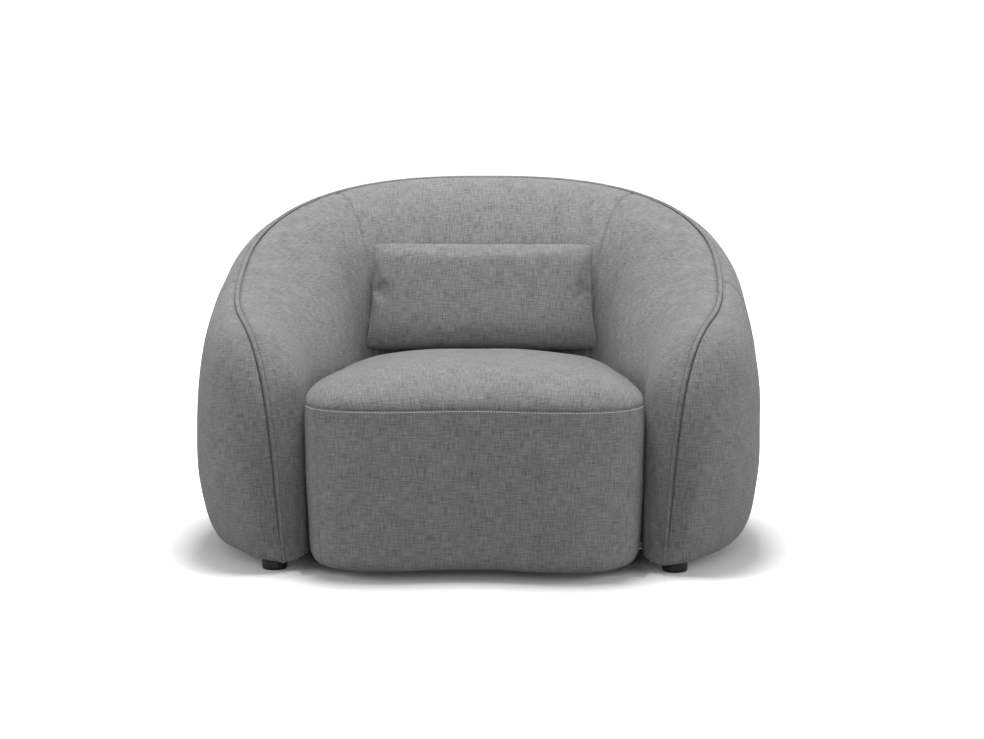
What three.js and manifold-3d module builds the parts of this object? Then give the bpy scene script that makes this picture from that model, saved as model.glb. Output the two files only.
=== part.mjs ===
// Upholstered tub armchair: one C-shaped padded shell, a sprung seat between its arms, and a loose
// lumbar pillow with a zipped cover. Millimetres, +Z up, the sitter faces -Y.
// The origin is on the floor, at the middle of the overall width and depth.
import * as THREE from 'three';
import { mergeVertices } from 'three/addons/utils/BufferGeometryUtils.js';
import Module from 'manifold-3d';

// ---------------------------------------------------------------- driving dimensions
// shell
const overallWidth = 1116;        // across the arms at their widest
const backFace = 474;             // rearmost point of the shell, from the seat's own axis
const backHeight = 733;           // crest at the middle of the back
const armHeight = 452;            // crest where the arm turns down at its front end
const underside = 24;             // underside of the upholstery above the floor
const armEndAngle = 131;          // degrees round the plan, from the back's middle to an arm's end
const planFrontReach = 560;       // half length of the plan's front curve if it closed
const planPower = { rear: 2.55, front: 2.35 };
const outward = { end: 84, side: 78, back: 102 };     // padding outside the crest line
const inward = { end: 112, side: 212, back: 192 };    // padding inside the crest line
// Shares of the crest where a width stops and starts to change.
const widthEase = { inner: [0.55, 0.6], outer: [0.5, 0.5] };
const innerShoulder = 300;        // height where the inside face starts to roll over
const leastRoll = 60;             // and its least drop below the crest
const outerShoulder = 225;        // height of the fullest part of the outside face
const undercut = 70;              // how far the outside face tucks in at the underside
const riseStart = -380;           // depth at which the crest starts to climb
const risePower = 1.5;
const endRound = { width: 150, height: 190 };         // length over which an arm's end closes
const endPower = { width: 2.7, height: 3.6 };
const endLean = 30;               // how far the foot of the arm's end leans inwards
const endLeanReach = 260;
const leanPower = 1.3;
const sectionPower = { inner: 2.1, outer: 2.3, under: 2.2 };
const innerSeamShare = 0.70;      // where the inside panels meet, along each half of the crest
const outerSeamShare = 0.31;      // where the outside panels meet

// layers, from the outside in
const coverThickness = 2.4;
const layerGap = 0.6;
const foamThickness = 50;
const waddingThickness = 12;
const boardThickness = 3.2;
const weltRadius = 3.2;
const touchGap = 0.3;
const seamGap = 0.8;

// frame
const plyThickness = 18;
const frameClearance = 8;
const ribStations = { arm_front: 130, arm_middle: 370, corner: 660 };
const topRail = { halfWidth: 16, thickness: 20, start: 200 };
const plateEdgeGap = 7;
const plateStart = 26;            // front end of the shell's base plate, from the arm's end
const dustCoverThickness = 0.7;
const tieBar = { thickness: 2.5, width: 60, ys: { front: -225, rear: 60 }, reach: 60 };

// seat
const seatWidth = 626;
const seatFront = -480;
const seatRear = 172;
const seatPower = 4.6;
const seatTaper = 0.14;
const seatTop = 388;              // crown of the seat
const seatSeam = 316;             // seam between the top panel and the boxing
const seatHollow = 30;            // how far the middle of the front edge sits back
const seatHollowHalf = 200;
const seatClearance = 9;          // to the inside face of the shell
const seatDeck = 190;             // underside of the seat foam
const seatWadding = 17;
const seatLayerGap = 1;           // between the boxing's cover and its wadding
const seatDeckGap = 2;            // between the wadding's top and the foam
const seatSwell = { foot: -12, middle: 4, seam: -1, height: 120 };  // how far the boxing stands out
const seatFootRound = 20;
const seatRail = { height: 120, thickness: 20, inset: 46, frontY: -405, rearY: 62 };
const cornerBlock = { leg: 70, drop: 6 };
const spring = { wire: 4, count: 4, spacing: 94, loops: 5, sway: 18 };
const channel = { depth: 12, wall: 1.5 };
const feltThickness = 3;

// pillow
const pillow = {
  width: 486, height: 224, thickness: 104, z: 490, tilt: 15.5, edgeDip: 0.03, flat: 0.4,
  past: 12.8,                     // its middle, behind where the wall is as far apart as it is wide
  clear: 58,                      // its middle, at least this far in front of the back
};
const zip = { length: 180, width: 5, thickness: 1.6, level: -84, cutDepth: 12 };  // level is down the back panel
const slider = { length: 11, width: 8, thickness: 3.2, lug: 3, lugWidth: 2 };
const pull = { length: 24, width: 6, thickness: 1.4, lift: 1.2, above: 1, slot: 4.5, taper: 1.5 };

// feet
const foot = { radius: 24, round: 5, boreRadius: 4.6, recessRadius: 10, recessDepth: 7 };
const screw = { shankRadius: 4, headRadius: 8, headHeight: 5, tipGap: 2, chamfer: 1 };
const footPlacing = {             // station along the crest, and share of the plate's width from its inner edge
  front: { station: 47.05, share: 0.8614 },
  rear: { station: 779.8, share: 0.7184 },
};

// ---------------------------------------------------------------- finishes
const finish = (color, roughness, metalness = 0) =>
  new THREE.MeshStandardMaterial({ color, roughness, metalness });
const fabric = () => finish('#8f8f8b', 0.95);
const foam = () => finish('#e4dcb8', 0.9);
const wadding = () => finish('#f1f0ec', 0.95);
const board = () => finish('#9a7a52', 0.8);
const plywood = () => finish('#c9a878', 0.7);
const steel = () => finish('#9c9ea1', 0.4, 0.9);
const blackPlastic = () => finish('#141416', 0.5);
const blackCloth = () => finish('#1c1c1d', 0.9);

// ---------------------------------------------------------------- helpers
const chair = new THREE.Group();

function add(name, geometry, material, parent = chair) {
  const mesh = new THREE.Mesh(geometry, material);
  mesh.name = name;
  parent.add(mesh);
  return mesh;
}

const clamp01 = (t) => Math.min(Math.max(t, 0), 1);
const ease = (t) => clamp01(t) ** 2 * (3 - 2 * clamp01(t));
const mix = (a, b, t) => a + (b - a) * t;
const signedPower = (v, p) => Math.sign(v) * Math.abs(v) ** p;
const steps = (from, to, count) => Array.from({ length: count + 1 }, (_, k) => mix(from, to, k / count));

// A closed mesh from points and quads. Points in the same place are joined, faces that shrink to
// a line are dropped, and the whole is turned to face outwards.
function closedMesh(points, quads) {
  const ids = new Map();
  const positions = [];
  const idOf = points.map((p) => {
    const key = p.toArray().map((v) => Math.round(v * 1e3)).join(' ');
    if (!ids.has(key)) {
      ids.set(key, ids.size);
      positions.push(p.x, p.y, p.z);
    }
    return ids.get(key);
  });
  const triangles = quads
    .flatMap(([a, b, c, d]) => (d === undefined ? [[a, b, c]] : [[a, b, c], [a, c, d]]))
    .map((t) => t.map((k) => idOf[k]))
    .filter(([a, b, c]) => a !== b && b !== c && c !== a);
  const at = (k) => new THREE.Vector3().fromArray(positions, 3 * k);
  const volume = triangles.reduce((sum, [a, b, c]) => sum + at(a).dot(at(b).cross(at(c))), 0);
  const index = triangles.flatMap(([a, b, c]) => (volume < 0 ? [a, c, b] : [a, b, c]));
  const geometry = new THREE.BufferGeometry();
  geometry.setAttribute('position', new THREE.Float32BufferAttribute(positions, 3));
  geometry.setIndex(index);
  geometry.computeVertexNormals();
  return geometry;
}

// A slab between two grids of points with the same rows and columns, closed round its edge.
function slab(front, back) {
  const rows = front.length;
  const columns = front[0].length;
  const points = [...front.flat(), ...back.flat()];
  const id = (side, i, j) => side * rows * columns + i * columns + j;
  const quads = [];
  for (let i = 0; i + 1 < rows; i++) {
    for (let j = 0; j + 1 < columns; j++) {
      quads.push([id(0, i, j), id(0, i + 1, j), id(0, i + 1, j + 1), id(0, i, j + 1)]);
      quads.push([id(1, i, j), id(1, i, j + 1), id(1, i + 1, j + 1), id(1, i + 1, j)]);
    }
  }
  const rim = [];
  for (let j = 0; j + 1 < columns; j++) rim.push([0, j]);
  for (let i = 0; i + 1 < rows; i++) rim.push([i, columns - 1]);
  for (let j = columns - 1; j > 0; j--) rim.push([rows - 1, j]);
  for (let i = rows - 1; i > 0; i--) rim.push([i, 0]);
  rim.forEach(([i, j], k) => {
    const [ni, nj] = rim[(k + 1) % rim.length];
    quads.push([id(0, i, j), id(0, ni, nj), id(1, ni, nj), id(1, i, j)]);
  });
  return closedMesh(points, quads);
}

// A skin through a list of closed loops. Its ends are closed by a fan to the loop's own middle,
// or, for a ring, the last loop joins the first.
function throughLoops(loops, ring = false) {
  const size = loops[0].length;
  const points = loops.flat();
  const quads = [];
  const last = ring ? loops.length : loops.length - 1;
  for (let i = 0; i < last; i++) {
    const next = (i + 1) % loops.length;
    for (let k = 0; k < size; k++) {
      const k2 = (k + 1) % size;
      quads.push([i * size + k, i * size + k2, next * size + k2, next * size + k]);
    }
  }
  if (!ring) {
    [0, loops.length - 1].forEach((i) => {
      const middle = loops[i].reduce((sum, p) => sum.add(p), new THREE.Vector3()).divideScalar(size);
      points.push(middle);
      for (let k = 0; k < size; k++) {
        const edge = [i * size + k, i * size + ((k + 1) % size)];
        quads.push(i === 0 ? [points.length - 1, edge[1], edge[0]] : [points.length - 1, ...edge]);
      }
    });
  }
  return closedMesh(points, quads);
}

// A flat board: an outline in the XY plane with round holes, raised to stand between two levels.
function flatBoard(outline, z0, z1, holes = [], holeRadius = 0) {
  const shape = new THREE.Shape(outline.map(([x, y]) => new THREE.Vector2(x, y)));
  shape.holes = holes.map(([x, y]) => new THREE.Path().absarc(x, y, holeRadius, 0, 2 * Math.PI, true));
  const settings = { depth: z1 - z0, bevelEnabled: false, curveSegments: 6 };
  const geometry = new THREE.ExtrudeGeometry(shape, settings);
  return geometry.translate(0, 0, z0);
}

// ---------------------------------------------------------------- shell: plan and section
// The crest line's plan is half of one superellipse at the back and part of another in front.
const planHalfWidth = overallWidth / 2 - outward.side;
const planBackReach = backFace - outward.back;

function planPoint(angle) {
  const s = Math.sin(angle);
  const c = Math.cos(angle);
  const power = 2 / (c > 0 ? planPower.rear : planPower.front);
  const reach = c > 0 ? planBackReach : planFrontReach;
  return new THREE.Vector2(planHalfWidth * signedPower(s, power), reach * signedPower(c, power));
}

// Stations along the crest are distances from an arm's end, up to halfLength at the back's middle.
const planSamples = 2400;
const planTable = steps(armEndAngle, 0, planSamples).map((a) => planPoint(THREE.MathUtils.degToRad(a)));
const planLengths = [0];
planTable.forEach((p, k) => {
  if (k > 0) planLengths.push(planLengths[k - 1] + p.distanceTo(planTable[k - 1]));
});
const halfLength = planLengths[planSamples];
const innerSeam = innerSeamShare * halfLength;
const outerSeam = outerSeamShare * halfLength;

function planAt(station) {
  const s = Math.min(Math.max(station, 0), halfLength);
  let low = 0;
  let high = planSamples;
  while (high - low > 1) {
    const middle = (low + high) >> 1;
    if (planLengths[middle] <= s) low = middle;
    else high = middle;
  }
  const span = planLengths[high] - planLengths[low];
  const place = planTable[low].clone().lerp(planTable[high], (s - planLengths[low]) / span);
  const before = planTable[Math.max(low - 8, 0)];
  const after = planTable[Math.min(high + 8, planSamples)];
  const along = after.clone().sub(before).normalize();
  if (s === halfLength) along.set(-1, 0);
  return { place, outwards: new THREE.Vector2(along.y, -along.x) };
}

const crestHeight = (y) =>
  armHeight + (backHeight - armHeight) * clamp01((y - riseStart) / (planBackReach - riseStart)) ** risePower;

const along = (widths, share, first, second) =>
  widths.end + (widths.side - widths.end) * ease(share / first)
  + (widths.back - widths.side) * ease((share - second) / (1 - second));

const closing = (distance, length, power) =>
  (1 - clamp01(1 - Math.max(distance, 0) / length) ** power) ** (1 / power);

// One section of the shell, on its inner or outer side of the crest line. `inset` shrinks it inwards
// all round, the arm's end included. A share of 0 lies on the crest plane and 1 on the widest line.
function section(station, inset, side) {
  const { place, outwards } = planAt(station);
  const inner = side === 'inner';
  const share = station / halfLength;
  const top = crestHeight(place.y);
  const half = weltRadius + touchGap;
  const width = inner ? along(inward, share, ...widthEase.inner) : along(outward, share, ...widthEase.outer);
  const fullWidth = width - inset - half;
  const narrow = closing(station - inset, endRound.width, endPower.width);
  const low = closing(station - inset, endRound.height, endPower.height);
  const ground = inner ? underside : underside + inset;
  const level = (height) => ground + (height - ground) * low;
  const reach = fullWidth * narrow;
  const offset = (widthShare, z) => {
    const lean = endLean * (1 - clamp01((z - underside) / (top - underside))) ** leanPower
      * (1 - ease(station / endLeanReach));
    return inner ? -half - lean - (Math.hypot(reach, lean) - lean) * widthShare
      : half + reach * widthShare - lean;
  };
  const at = (a, z) => new THREE.Vector3(place.x + a * outwards.x, place.y + a * outwards.y, z);
  return { top, fullWidth, level, offset, at, outwards, place };
}

const quarter = (power, count) => steps(0, Math.PI / 2, count).map((a) => [
  Math.cos(a) ** (2 / power), Math.sin(a) ** (2 / power),
]);

// Inside face, as shares and heights: up the flat of the wall and over to the crest.
function innerShape(s, inset) {
  const shoulder = Math.min(innerShoulder, s.top - leastRoll);
  return quarter(sectionPower.inner, 4).map(([c, h]) => [c, s.level(shoulder + (s.top - inset - shoulder) * h)]);
}

// Outside face: from the crest over the full of the side and in under the shell.
function outerShape(s, inset) {
  const over = quarter(sectionPower.outer, 4).reverse().map(([c, h]) =>
    [c, s.level(outerShoulder + (s.top - inset - outerShoulder) * h)]);
  const tuck = undercut - inset;
  const under = quarter(sectionPower.under, 3).slice(1).map(([c, h]) =>
    [(s.fullWidth - tuck + tuck * c) / s.fullWidth, s.level(outerShoulder - (outerShoulder - underside - inset) * h)]);
  return [...over, ...under];
}

// A layer's rows are made by one of these: offsets from the crest line and heights.
const insideFrom = (bottom) => ({
  side: 'inner',
  shape: (s, inset) => {
    const roll = innerShape(s, inset);
    return [[1, Math.min(bottom, roll[0][1] - 1)], ...roll];
  },
});
const outside = { side: 'outer', shape: outerShape };

// An inset layer's rings move away from the arm's end with it, and lie in the outer layer's own
// planes beyond endShiftReach. The rings of a layer: fine at the arm's end, with one on each seam.
const endShiftReach = 320;
const endRings = [0.8, 5, 16, 40, 85, 160];
const halfRings = [
  ...endRings,
  ...steps(endRings[endRings.length - 1], outerSeam, 2).slice(1),
  ...steps(outerSeam, innerSeam, 4).slice(1),
  ...steps(innerSeam, halfLength, 3).slice(1),
];
const outerSeamRing = halfRings.indexOf(outerSeam);
const innerSeamRing = halfRings.indexOf(innerSeam);
const middleRing = halfRings.length - 1;
const lastRing = 2 * middleRing;
const ringStation = (k, inset) => {
  const station = halfRings[Math.min(k, lastRing - k)];
  return station + inset * Math.max(0, 1 - station / endShiftReach);
};

// One face of a layer between two rings, counted from the right arm's end round to the left arm's.
// An arm's end is closed by one more row that lies on the crest plane.
function layerFace(kind, inset, first, last) {
  const rows = [];
  const addRow = (k, station, onPlane) => {
    const s = section(station, inset, kind.side);
    rows.push(kind.shape(s, inset).map(([share, z]) => {
      const p = s.at(s.offset(onPlane ? 0 : share, z), z);
      if (k > middleRing) p.x = -p.x;
      return p;
    }));
  };
  for (let k = first; k <= last; k++) {
    const forward = k <= middleRing ? 1 : -1;
    let station = ringStation(k, inset);
    if (k === first && k > 0) station += forward * seamGap / 2;
    if (k === last && k < lastRing) station -= forward * seamGap / 2;
    if (k === 0) addRow(k, station, true);
    addRow(k, station, false);
    if (k === lastRing) addRow(k, station, true);
  }
  return rows;
}

const layer = (kind, inset, thickness, first = 0, last = lastRing) =>
  slab(layerFace(kind, inset, first, last), layerFace(kind, inset + thickness, first, last));

// The same layer in three pieces, parted at a seam on each side.
function layerInThree(name, kind, inset, thickness, seamRing, makeFinish) {
  const parts = { right: [0, seamRing], back: [seamRing, lastRing - seamRing], left: [lastRing - seamRing, lastRing] };
  Object.entries(parts).forEach(([place, [first, last]]) =>
    add(`${name}_${place}`, layer(kind, inset, thickness, first, last), makeFinish()));
}

// ---------------------------------------------------------------- shell: covers, padding and frame
const plateBottom = underside + dustCoverThickness + tieBar.thickness + 2 * touchGap;
const plateTop = plateBottom + plyThickness;
const foamInset = coverThickness + layerGap;
const innerBoardInset = foamInset + foamThickness + layerGap;
const outerBoardInset = foamInset + waddingThickness + layerGap;
const innerFrameInset = innerBoardInset + boardThickness + frameClearance;
const outerFrameInset = outerBoardInset + boardThickness + frameClearance;
const onPlate = insideFrom(plateTop + touchGap);

layerInThree('inner_cover', insideFrom(plateBottom), 0, coverThickness, innerSeamRing, fabric);
layerInThree('outer_cover', outside, 0, coverThickness, outerSeamRing, fabric);
layerInThree('inner_foam', onPlate, foamInset, foamThickness, innerSeamRing, foam);
add('outer_wadding', layer(outside, foamInset, waddingThickness), wadding());
add('inner_board', layer(onPlate, innerBoardInset, boardThickness), board());
add('outer_board', layer(outside, outerBoardInset, boardThickness), board());

// The welt is a piped cord along the whole crest line, down both arms' ends to the underside.
const weltSides = 8;
function weltLoops() {
  const centres = [];
  const acrosses = [];
  for (let k = 0; k <= lastRing; k++) {
    const s = section(ringStation(k, 0), 0, 'outer');
    const z = s.level(s.top);
    const mirror = k > middleRing ? -1 : 1;
    const centre = s.at(s.offset(0, z) - weltRadius - touchGap, z);
    centres.push(new THREE.Vector3(mirror * centre.x, centre.y, centre.z));
    acrosses.push(new THREE.Vector3(mirror * s.outwards.x, s.outwards.y, 0));
  }
  return centres.map((centre, k) => {
    const ahead = centres[Math.min(k + 1, lastRing)].clone().sub(centre);
    const behind = centre.clone().sub(centres[Math.max(k - 1, 0)]);
    const tangent = ahead.normalize().add(behind.normalize()).normalize();
    const upward = tangent.clone().cross(acrosses[k]).normalize();
    if (upward.z < 0) upward.negate();
    return Array.from({ length: weltSides }, (_, j) => {
      const angle = 2 * Math.PI * (j + 0.5) / weltSides;
      return centre.clone().addScaledVector(acrosses[k], weltRadius * Math.cos(angle))
        .addScaledVector(upward, weltRadius * Math.sin(angle));
    });
  });
}
add('welt_cord', throughLoops(weltLoops()), fabric());

// The C-shaped base plate reaches from the inside cover's back to the outside cover's tucked edge.
const plateEdges = {
  outer: (s) => s.offset((s.fullWidth - undercut) / s.fullWidth, underside) - plateEdgeGap,
  inner: (s) => s.offset(1, underside) + foamInset + plateEdgeGap,
};
function plateEdgePoint(side, station) {
  const s = section(station, 0, side);
  const p = s.at(plateEdges[side](s), 0);
  return [p.x, p.y];
}

const footPlaces = Object.fromEntries(Object.entries(footPlacing).map(([place, { station, share }]) => {
  const inside = plateEdgePoint('inner', station);
  const outside = plateEdgePoint('outer', station);
  return [place, inside.map((v, axis) => mix(v, outside[axis], share))];
}));
const footHoles = Object.values(footPlaces).flatMap(([x, y]) => [[x, y], [-x, y]]);

function plateOutline() {
  const edge = (side) => steps(plateStart, halfLength, 12).map((station) => plateEdgePoint(side, station));
  const outer = edge('outer');
  const inner = edge('inner');
  const flip = ([x, y]) => [-x, y];
  return [...outer, ...outer.slice(0, -1).reverse().map(flip), ...inner.map(flip), ...inner.slice(0, -1).reverse()];
}
add('shell_base_plate', flatBoard(plateOutline(), plateBottom, plateTop, footHoles, foot.boreRadius), plywood());
add('shell_dust_cover', flatBoard(plateOutline(), underside, underside + dustCoverThickness,
  footHoles, foot.boreRadius), blackCloth());

// Ribs stand on the plate, square to the crest line, under the top rail.
const railTop = (station) => {
  const s = section(station, innerFrameInset, 'inner');
  return s.level(s.top - innerFrameInset);
};
function ribShape(station) {
  const bottom = plateTop + touchGap;
  const top = railTop(station) - topRail.thickness - frameClearance;
  const side = (kind, inset) => {
    const s = section(station, inset, kind.side);
    return kind.shape(s, inset).map(([share, z]) => [s.offset(share, z), Math.min(Math.max(z, bottom), top)]);
  };
  const outline = [...side(onPlate, innerFrameInset), ...side(outside, outerFrameInset)];
  const corners = outline.filter(([a, z], k) => {
    const [pa, pz] = outline[(k + outline.length - 1) % outline.length];
    return Math.hypot(a - pa, z - pz) > 0.5;
  });
  return new THREE.Shape(corners.map(([a, z]) => new THREE.Vector2(a, z)));
}

function addRib(name, station, mirror) {
  const { place, outwards } = section(station, 0, 'inner');
  const geometry = new THREE.ExtrudeGeometry(ribShape(station), { depth: plyThickness, bevelEnabled: false });
  const rib = add(name, geometry.translate(0, 0, -plyThickness / 2), plywood());
  const outX = mirror * outwards.x;
  rib.quaternion.setFromRotationMatrix(new THREE.Matrix4().makeBasis(
    new THREE.Vector3(outX, outwards.y, 0), new THREE.Vector3(0, 0, 1), new THREE.Vector3(outwards.y, -outX, 0)));
  rib.position.set(mirror * place.x, place.y, 0);
}
Object.entries(ribStations).forEach(([place, station]) => {
  addRib(`rib_${place}_right`, station, 1);
  addRib(`rib_${place}_left`, station, -1);
});
addRib('rib_back', halfLength, 1);

// The top rail is one bent rail along the crest, over all the ribs.
const railStations = 10;
const railStation = (k) => mix(topRail.start, halfLength, Math.min(k, 2 * railStations - k) / railStations);
function railLoops() {
  return Array.from({ length: 2 * railStations + 1 }, (_, k) => {
    const s = section(railStation(k), 0, 'inner');
    const top = railTop(railStation(k));
    const mirror = k > railStations ? -1 : 1;
    const corners = [[-1, 0], [1, 0], [1, 1], [-1, 1]];
    return corners.map(([side, drop]) => {
      const p = s.at(side * topRail.halfWidth, top - drop * topRail.thickness);
      return new THREE.Vector3(mirror * p.x, p.y, p.z);
    });
  });
}
add('top_rail', throughLoops(railLoops()), plywood());

// ---------------------------------------------------------------- seat
// The seat's plan is a blunt superellipse that tapers to the back, with a shallow hollow along its
// front, and is held clear of the shell's inside face.
const seatMiddle = (seatFront + seatRear) / 2;
const seatHalfDepth = (seatRear - seatFront) / 2;
const shellWall = halfRings.map((station) => {
  const s = section(station, 0, 'inner');
  return s.at(s.offset(1, underside), 0);
});

// Distance along a ray from the seat's middle to the shell's inside face, or Infinity.
function wallDistance(dx, dy) {
  let nearest = Infinity;
  for (let k = 0; k + 1 < shellWall.length; k++) {
    const a = shellWall[k];
    const b = shellWall[k + 1];
    const ex = b.x - a.x;
    const ey = b.y - a.y;
    const cross = dx * ey - dy * ex;
    if (Math.abs(cross) < 1e-9) continue;
    const reach = (a.x * ey - (a.y - seatMiddle) * ex) / cross;
    const share = (a.x * dy - (a.y - seatMiddle) * dx) / cross;
    if (reach > 0 && share >= 0 && share <= 1) nearest = Math.min(nearest, reach);
  }
  return nearest;
}

const seatPoints = 32;
function seatOutline(inset, scale = 1) {
  return Array.from({ length: seatPoints }, (_, k) => {
    const angle = 2 * Math.PI * k / seatPoints - Math.PI / 2;
    const c = signedPower(Math.cos(angle), 2 / seatPower);
    const s = signedPower(Math.sin(angle), 2 / seatPower);
    const depthShare = clamp01(((s + 1) / 2 - 0.25) / 0.75);
    const x = (seatWidth / 2 - inset) * c * (1 - seatTaper * ease(depthShare));
    const hollow = seatHollow * Math.cos(clamp01(Math.abs(x) / seatHollowHalf) * Math.PI / 2) ** 2 * clamp01(-s);
    const y = (seatHalfDepth - inset) * s + hollow;
    const distance = Math.hypot(x, y);
    const wall = wallDistance(Math.abs(x) / distance, y / distance) - seatClearance - inset;
    const keep = scale * Math.min(1, wall / distance);
    return [x * keep, seatMiddle + y * keep];
  });
}
const seatLoop = (inset, z, scale) => seatOutline(inset, scale).map(([x, y]) => new THREE.Vector3(x, y, z));

// The boxing's side profile: how far it stands out at a height, and the loops up to a level.
function swellAt(z) {
  const { foot, middle, seam, height } = seatSwell;
  if (z < plateBottom + seatFootRound) return mix(foot, 0, clamp01((z - plateBottom) / seatFootRound));
  if (z < height) return mix(0, middle, (z - plateBottom - seatFootRound) / (height - plateBottom - seatFootRound));
  return mix(middle, seam, (z - height) / (seatSeam - height));
}
const seatSide = (inset, top) =>
  [plateBottom, plateBottom + seatFootRound, seatSwell.height, top].map((z) => [z, inset - swellAt(z)]);
const band = (outer, inner) =>
  throughLoops([...outer, ...[...inner].reverse()].map(([z, inset]) => seatLoop(inset, z)), true);

const boxingTop = seatSeam - seamGap / 2;
add('seat_front_and_side_cover', band(seatSide(0, boxingTop), seatSide(coverThickness, boxingTop)), fabric());

const waddingTop = seatDeck - seatDeckGap;
const waddingBack = foamInset + seatWadding;
add('seat_wadding', band(seatSide(coverThickness + seatLayerGap, waddingTop),
  [[plateBottom, waddingBack - seatSwell.foot], [waddingTop, waddingBack - seatSwell.foot]]), wadding());

const crownScales = [0.2, 0.5, 0.75, 0.92, 1];
const crown = (inset, from) => crownScales.map((scale) =>
  seatLoop(inset - seatSwell.seam, from + (seatTop - inset - from) * Math.sqrt(1 - scale ** 3), scale));
const topPanelEdge = seatSeam + seamGap / 2;
add('seat_top_cover', throughLoops([...crown(0, topPanelEdge), ...crown(coverThickness, topPanelEdge).reverse()]),
  fabric());
add('seat_foam', throughLoops([...crown(foamInset, seatSeam), seatLoop(foamInset, seatDeck)]), foam());

const seatPlateInset = waddingBack - seatSwell.foot + 2;
const seatPlateOutline = seatOutline(seatPlateInset);
add('seat_base_plate', flatBoard(seatPlateOutline, plateBottom, plateTop), plywood());
add('seat_dust_cover', flatBoard(seatOutline(foamInset - seatSwell.foot), underside,
  underside + dustCoverThickness), blackCloth());

// Rails: straight boards on edge, on the seat's plate.
const railFoot = plateTop + touchGap;
const railHead = railFoot + seatRail.height;
function seatHalfWidth(y, inset) {
  const outline = seatOutline(inset);
  return outline.reduce((widest, [x0, y0], k) => {
    const [x1, y1] = outline[(k + 1) % outline.length];
    return (y0 - y) * (y1 - y) < 0 ? Math.max(widest, mix(x0, x1, (y - y0) / (y1 - y0))) : widest;
  }, 0);
}
const crossRailHalf = (y) =>
  Math.min(seatHalfWidth(y, seatRail.inset), seatHalfWidth(y + seatRail.thickness, seatRail.inset));
function crossRail(y) {
  const half = crossRailHalf(y);
  const inner = y + seatRail.thickness;
  return flatBoard([[-half, y], [half, y], [half, inner], [-half, inner]], railFoot, railHead);
}
add('seat_rail_front', crossRail(seatRail.frontY), plywood());
add('seat_rail_rear', crossRail(seatRail.rearY), plywood());
const sideFront = seatRail.frontY + seatRail.thickness + touchGap;
const sideRear = seatRail.rearY - touchGap;
const sideX = { front: seatHalfWidth(sideFront, seatRail.inset), rear: seatHalfWidth(sideRear, seatRail.inset) };
[['right', 1], ['left', -1]].forEach(([side, mirror]) => {
  const flip = (list) => (mirror > 0 ? list : list.map(([x, y]) => [-x, y]).reverse());
  const insideX = { front: sideX.front - seatRail.thickness, rear: sideX.rear - seatRail.thickness };
  add(`seat_rail_${side}`, flatBoard(flip([
    [sideX.front, sideFront], [sideX.rear, sideRear], [insideX.rear, sideRear], [insideX.front, sideFront],
  ]), railFoot, railHead), plywood());
  const blockX = (y) => mix(insideX.front, insideX.rear, (y - sideFront) / (sideRear - sideFront)) - 2;
  const { leg } = cornerBlock;
  const front = [[blockX(sideFront), sideFront], [blockX(sideFront + leg), sideFront + leg],
    [blockX(sideFront) - leg, sideFront]];
  const rear = [[blockX(sideRear), sideRear], [blockX(sideRear) - leg, sideRear], [blockX(sideRear - leg), sideRear - leg]];
  add(`corner_block_front_${side}`, flatBoard(flip(front), railFoot, railHead - cornerBlock.drop), plywood());
  add(`corner_block_rear_${side}`, flatBoard(flip(rear), railFoot, railHead - cornerBlock.drop), plywood());
});

// Zigzag springs run from front to back on the rails, their ends held in a channel on each.
const channelHeight = 2 * channel.wall + spring.wire + 2 * touchGap;
const channelBottom = railHead + touchGap;
const springHeight = channelBottom + channelHeight / 2;
const channelBack = channel.wall + touchGap;
const channelSet = 4;             // from a rail's outer face to its channel
const wireSet = channelBack + 1;
const springEnds = [
  seatRail.frontY + channelSet + wireSet,
  seatRail.rearY + seatRail.thickness - channelSet - wireSet,
];

class ZigzagCurve extends THREE.Curve {
  constructor(x) {
    super();
    this.x = x;
  }

  getPoint(t, target = new THREE.Vector3()) {
    const sway = spring.sway * Math.cos(2 * Math.PI * (spring.loops + 0.5) * t);
    return target.set(this.x + sway, mix(springEnds[0], springEnds[1], t), springHeight);
  }
}

const wireSides = 4;
const wireSection = new THREE.Shape(Array.from({ length: wireSides }, (_, k) => {
  const angle = 2 * Math.PI * k / wireSides;
  return new THREE.Vector2(Math.cos(angle), Math.sin(angle)).multiplyScalar(spring.wire / 2);
}));
const slot = spring.wire / 2 + touchGap;
const channelSection = new THREE.Shape([
  [0, -channelHeight / 2], [channel.depth, -channelHeight / 2], [channel.depth, -slot], [channel.wall, -slot],
  [channel.wall, slot], [channel.depth, slot], [channel.depth, channelHeight / 2], [0, channelHeight / 2],
].map(([y, z]) => new THREE.Vector2(y, z)));

for (let k = 0; k < spring.count; k++) {
  const x = (k - (spring.count - 1) / 2) * spring.spacing;
  const wire = new THREE.ExtrudeGeometry(wireSection, {
    steps: 4 * spring.loops + 2, extrudePath: new ZigzagCurve(x), bevelEnabled: false,
  });
  add(`spring_${k + 1}`, wire, steel());
}

// A folded steel channel along each cross rail holds all the springs' ends.
[['front', 1, springEnds[0] - wireSet], ['rear', -1, springEnds[1] + wireSet]].forEach(([end, way, y]) => {
  const length = 2 * crossRailHalf(end === 'front' ? seatRail.frontY : seatRail.rearY);
  const body = new THREE.ExtrudeGeometry(channelSection, { depth: length, bevelEnabled: false });
  const mesh = add(`spring_channel_${end}`, body.translate(0, 0, -length / 2), steel());
  mesh.quaternion.setFromRotationMatrix(new THREE.Matrix4().makeBasis(
    new THREE.Vector3(0, way, 0), new THREE.Vector3(0, 0, 1), new THREE.Vector3(way, 0, 0)));
  mesh.position.set(0, y, springHeight);
});

const feltBottom = springHeight + channelHeight / 2 + 2;
add('spring_felt', flatBoard(seatOutline(seatPlateInset), feltBottom, feltBottom + feltThickness),
  finish('#7d7a75', 0.95));

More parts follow.
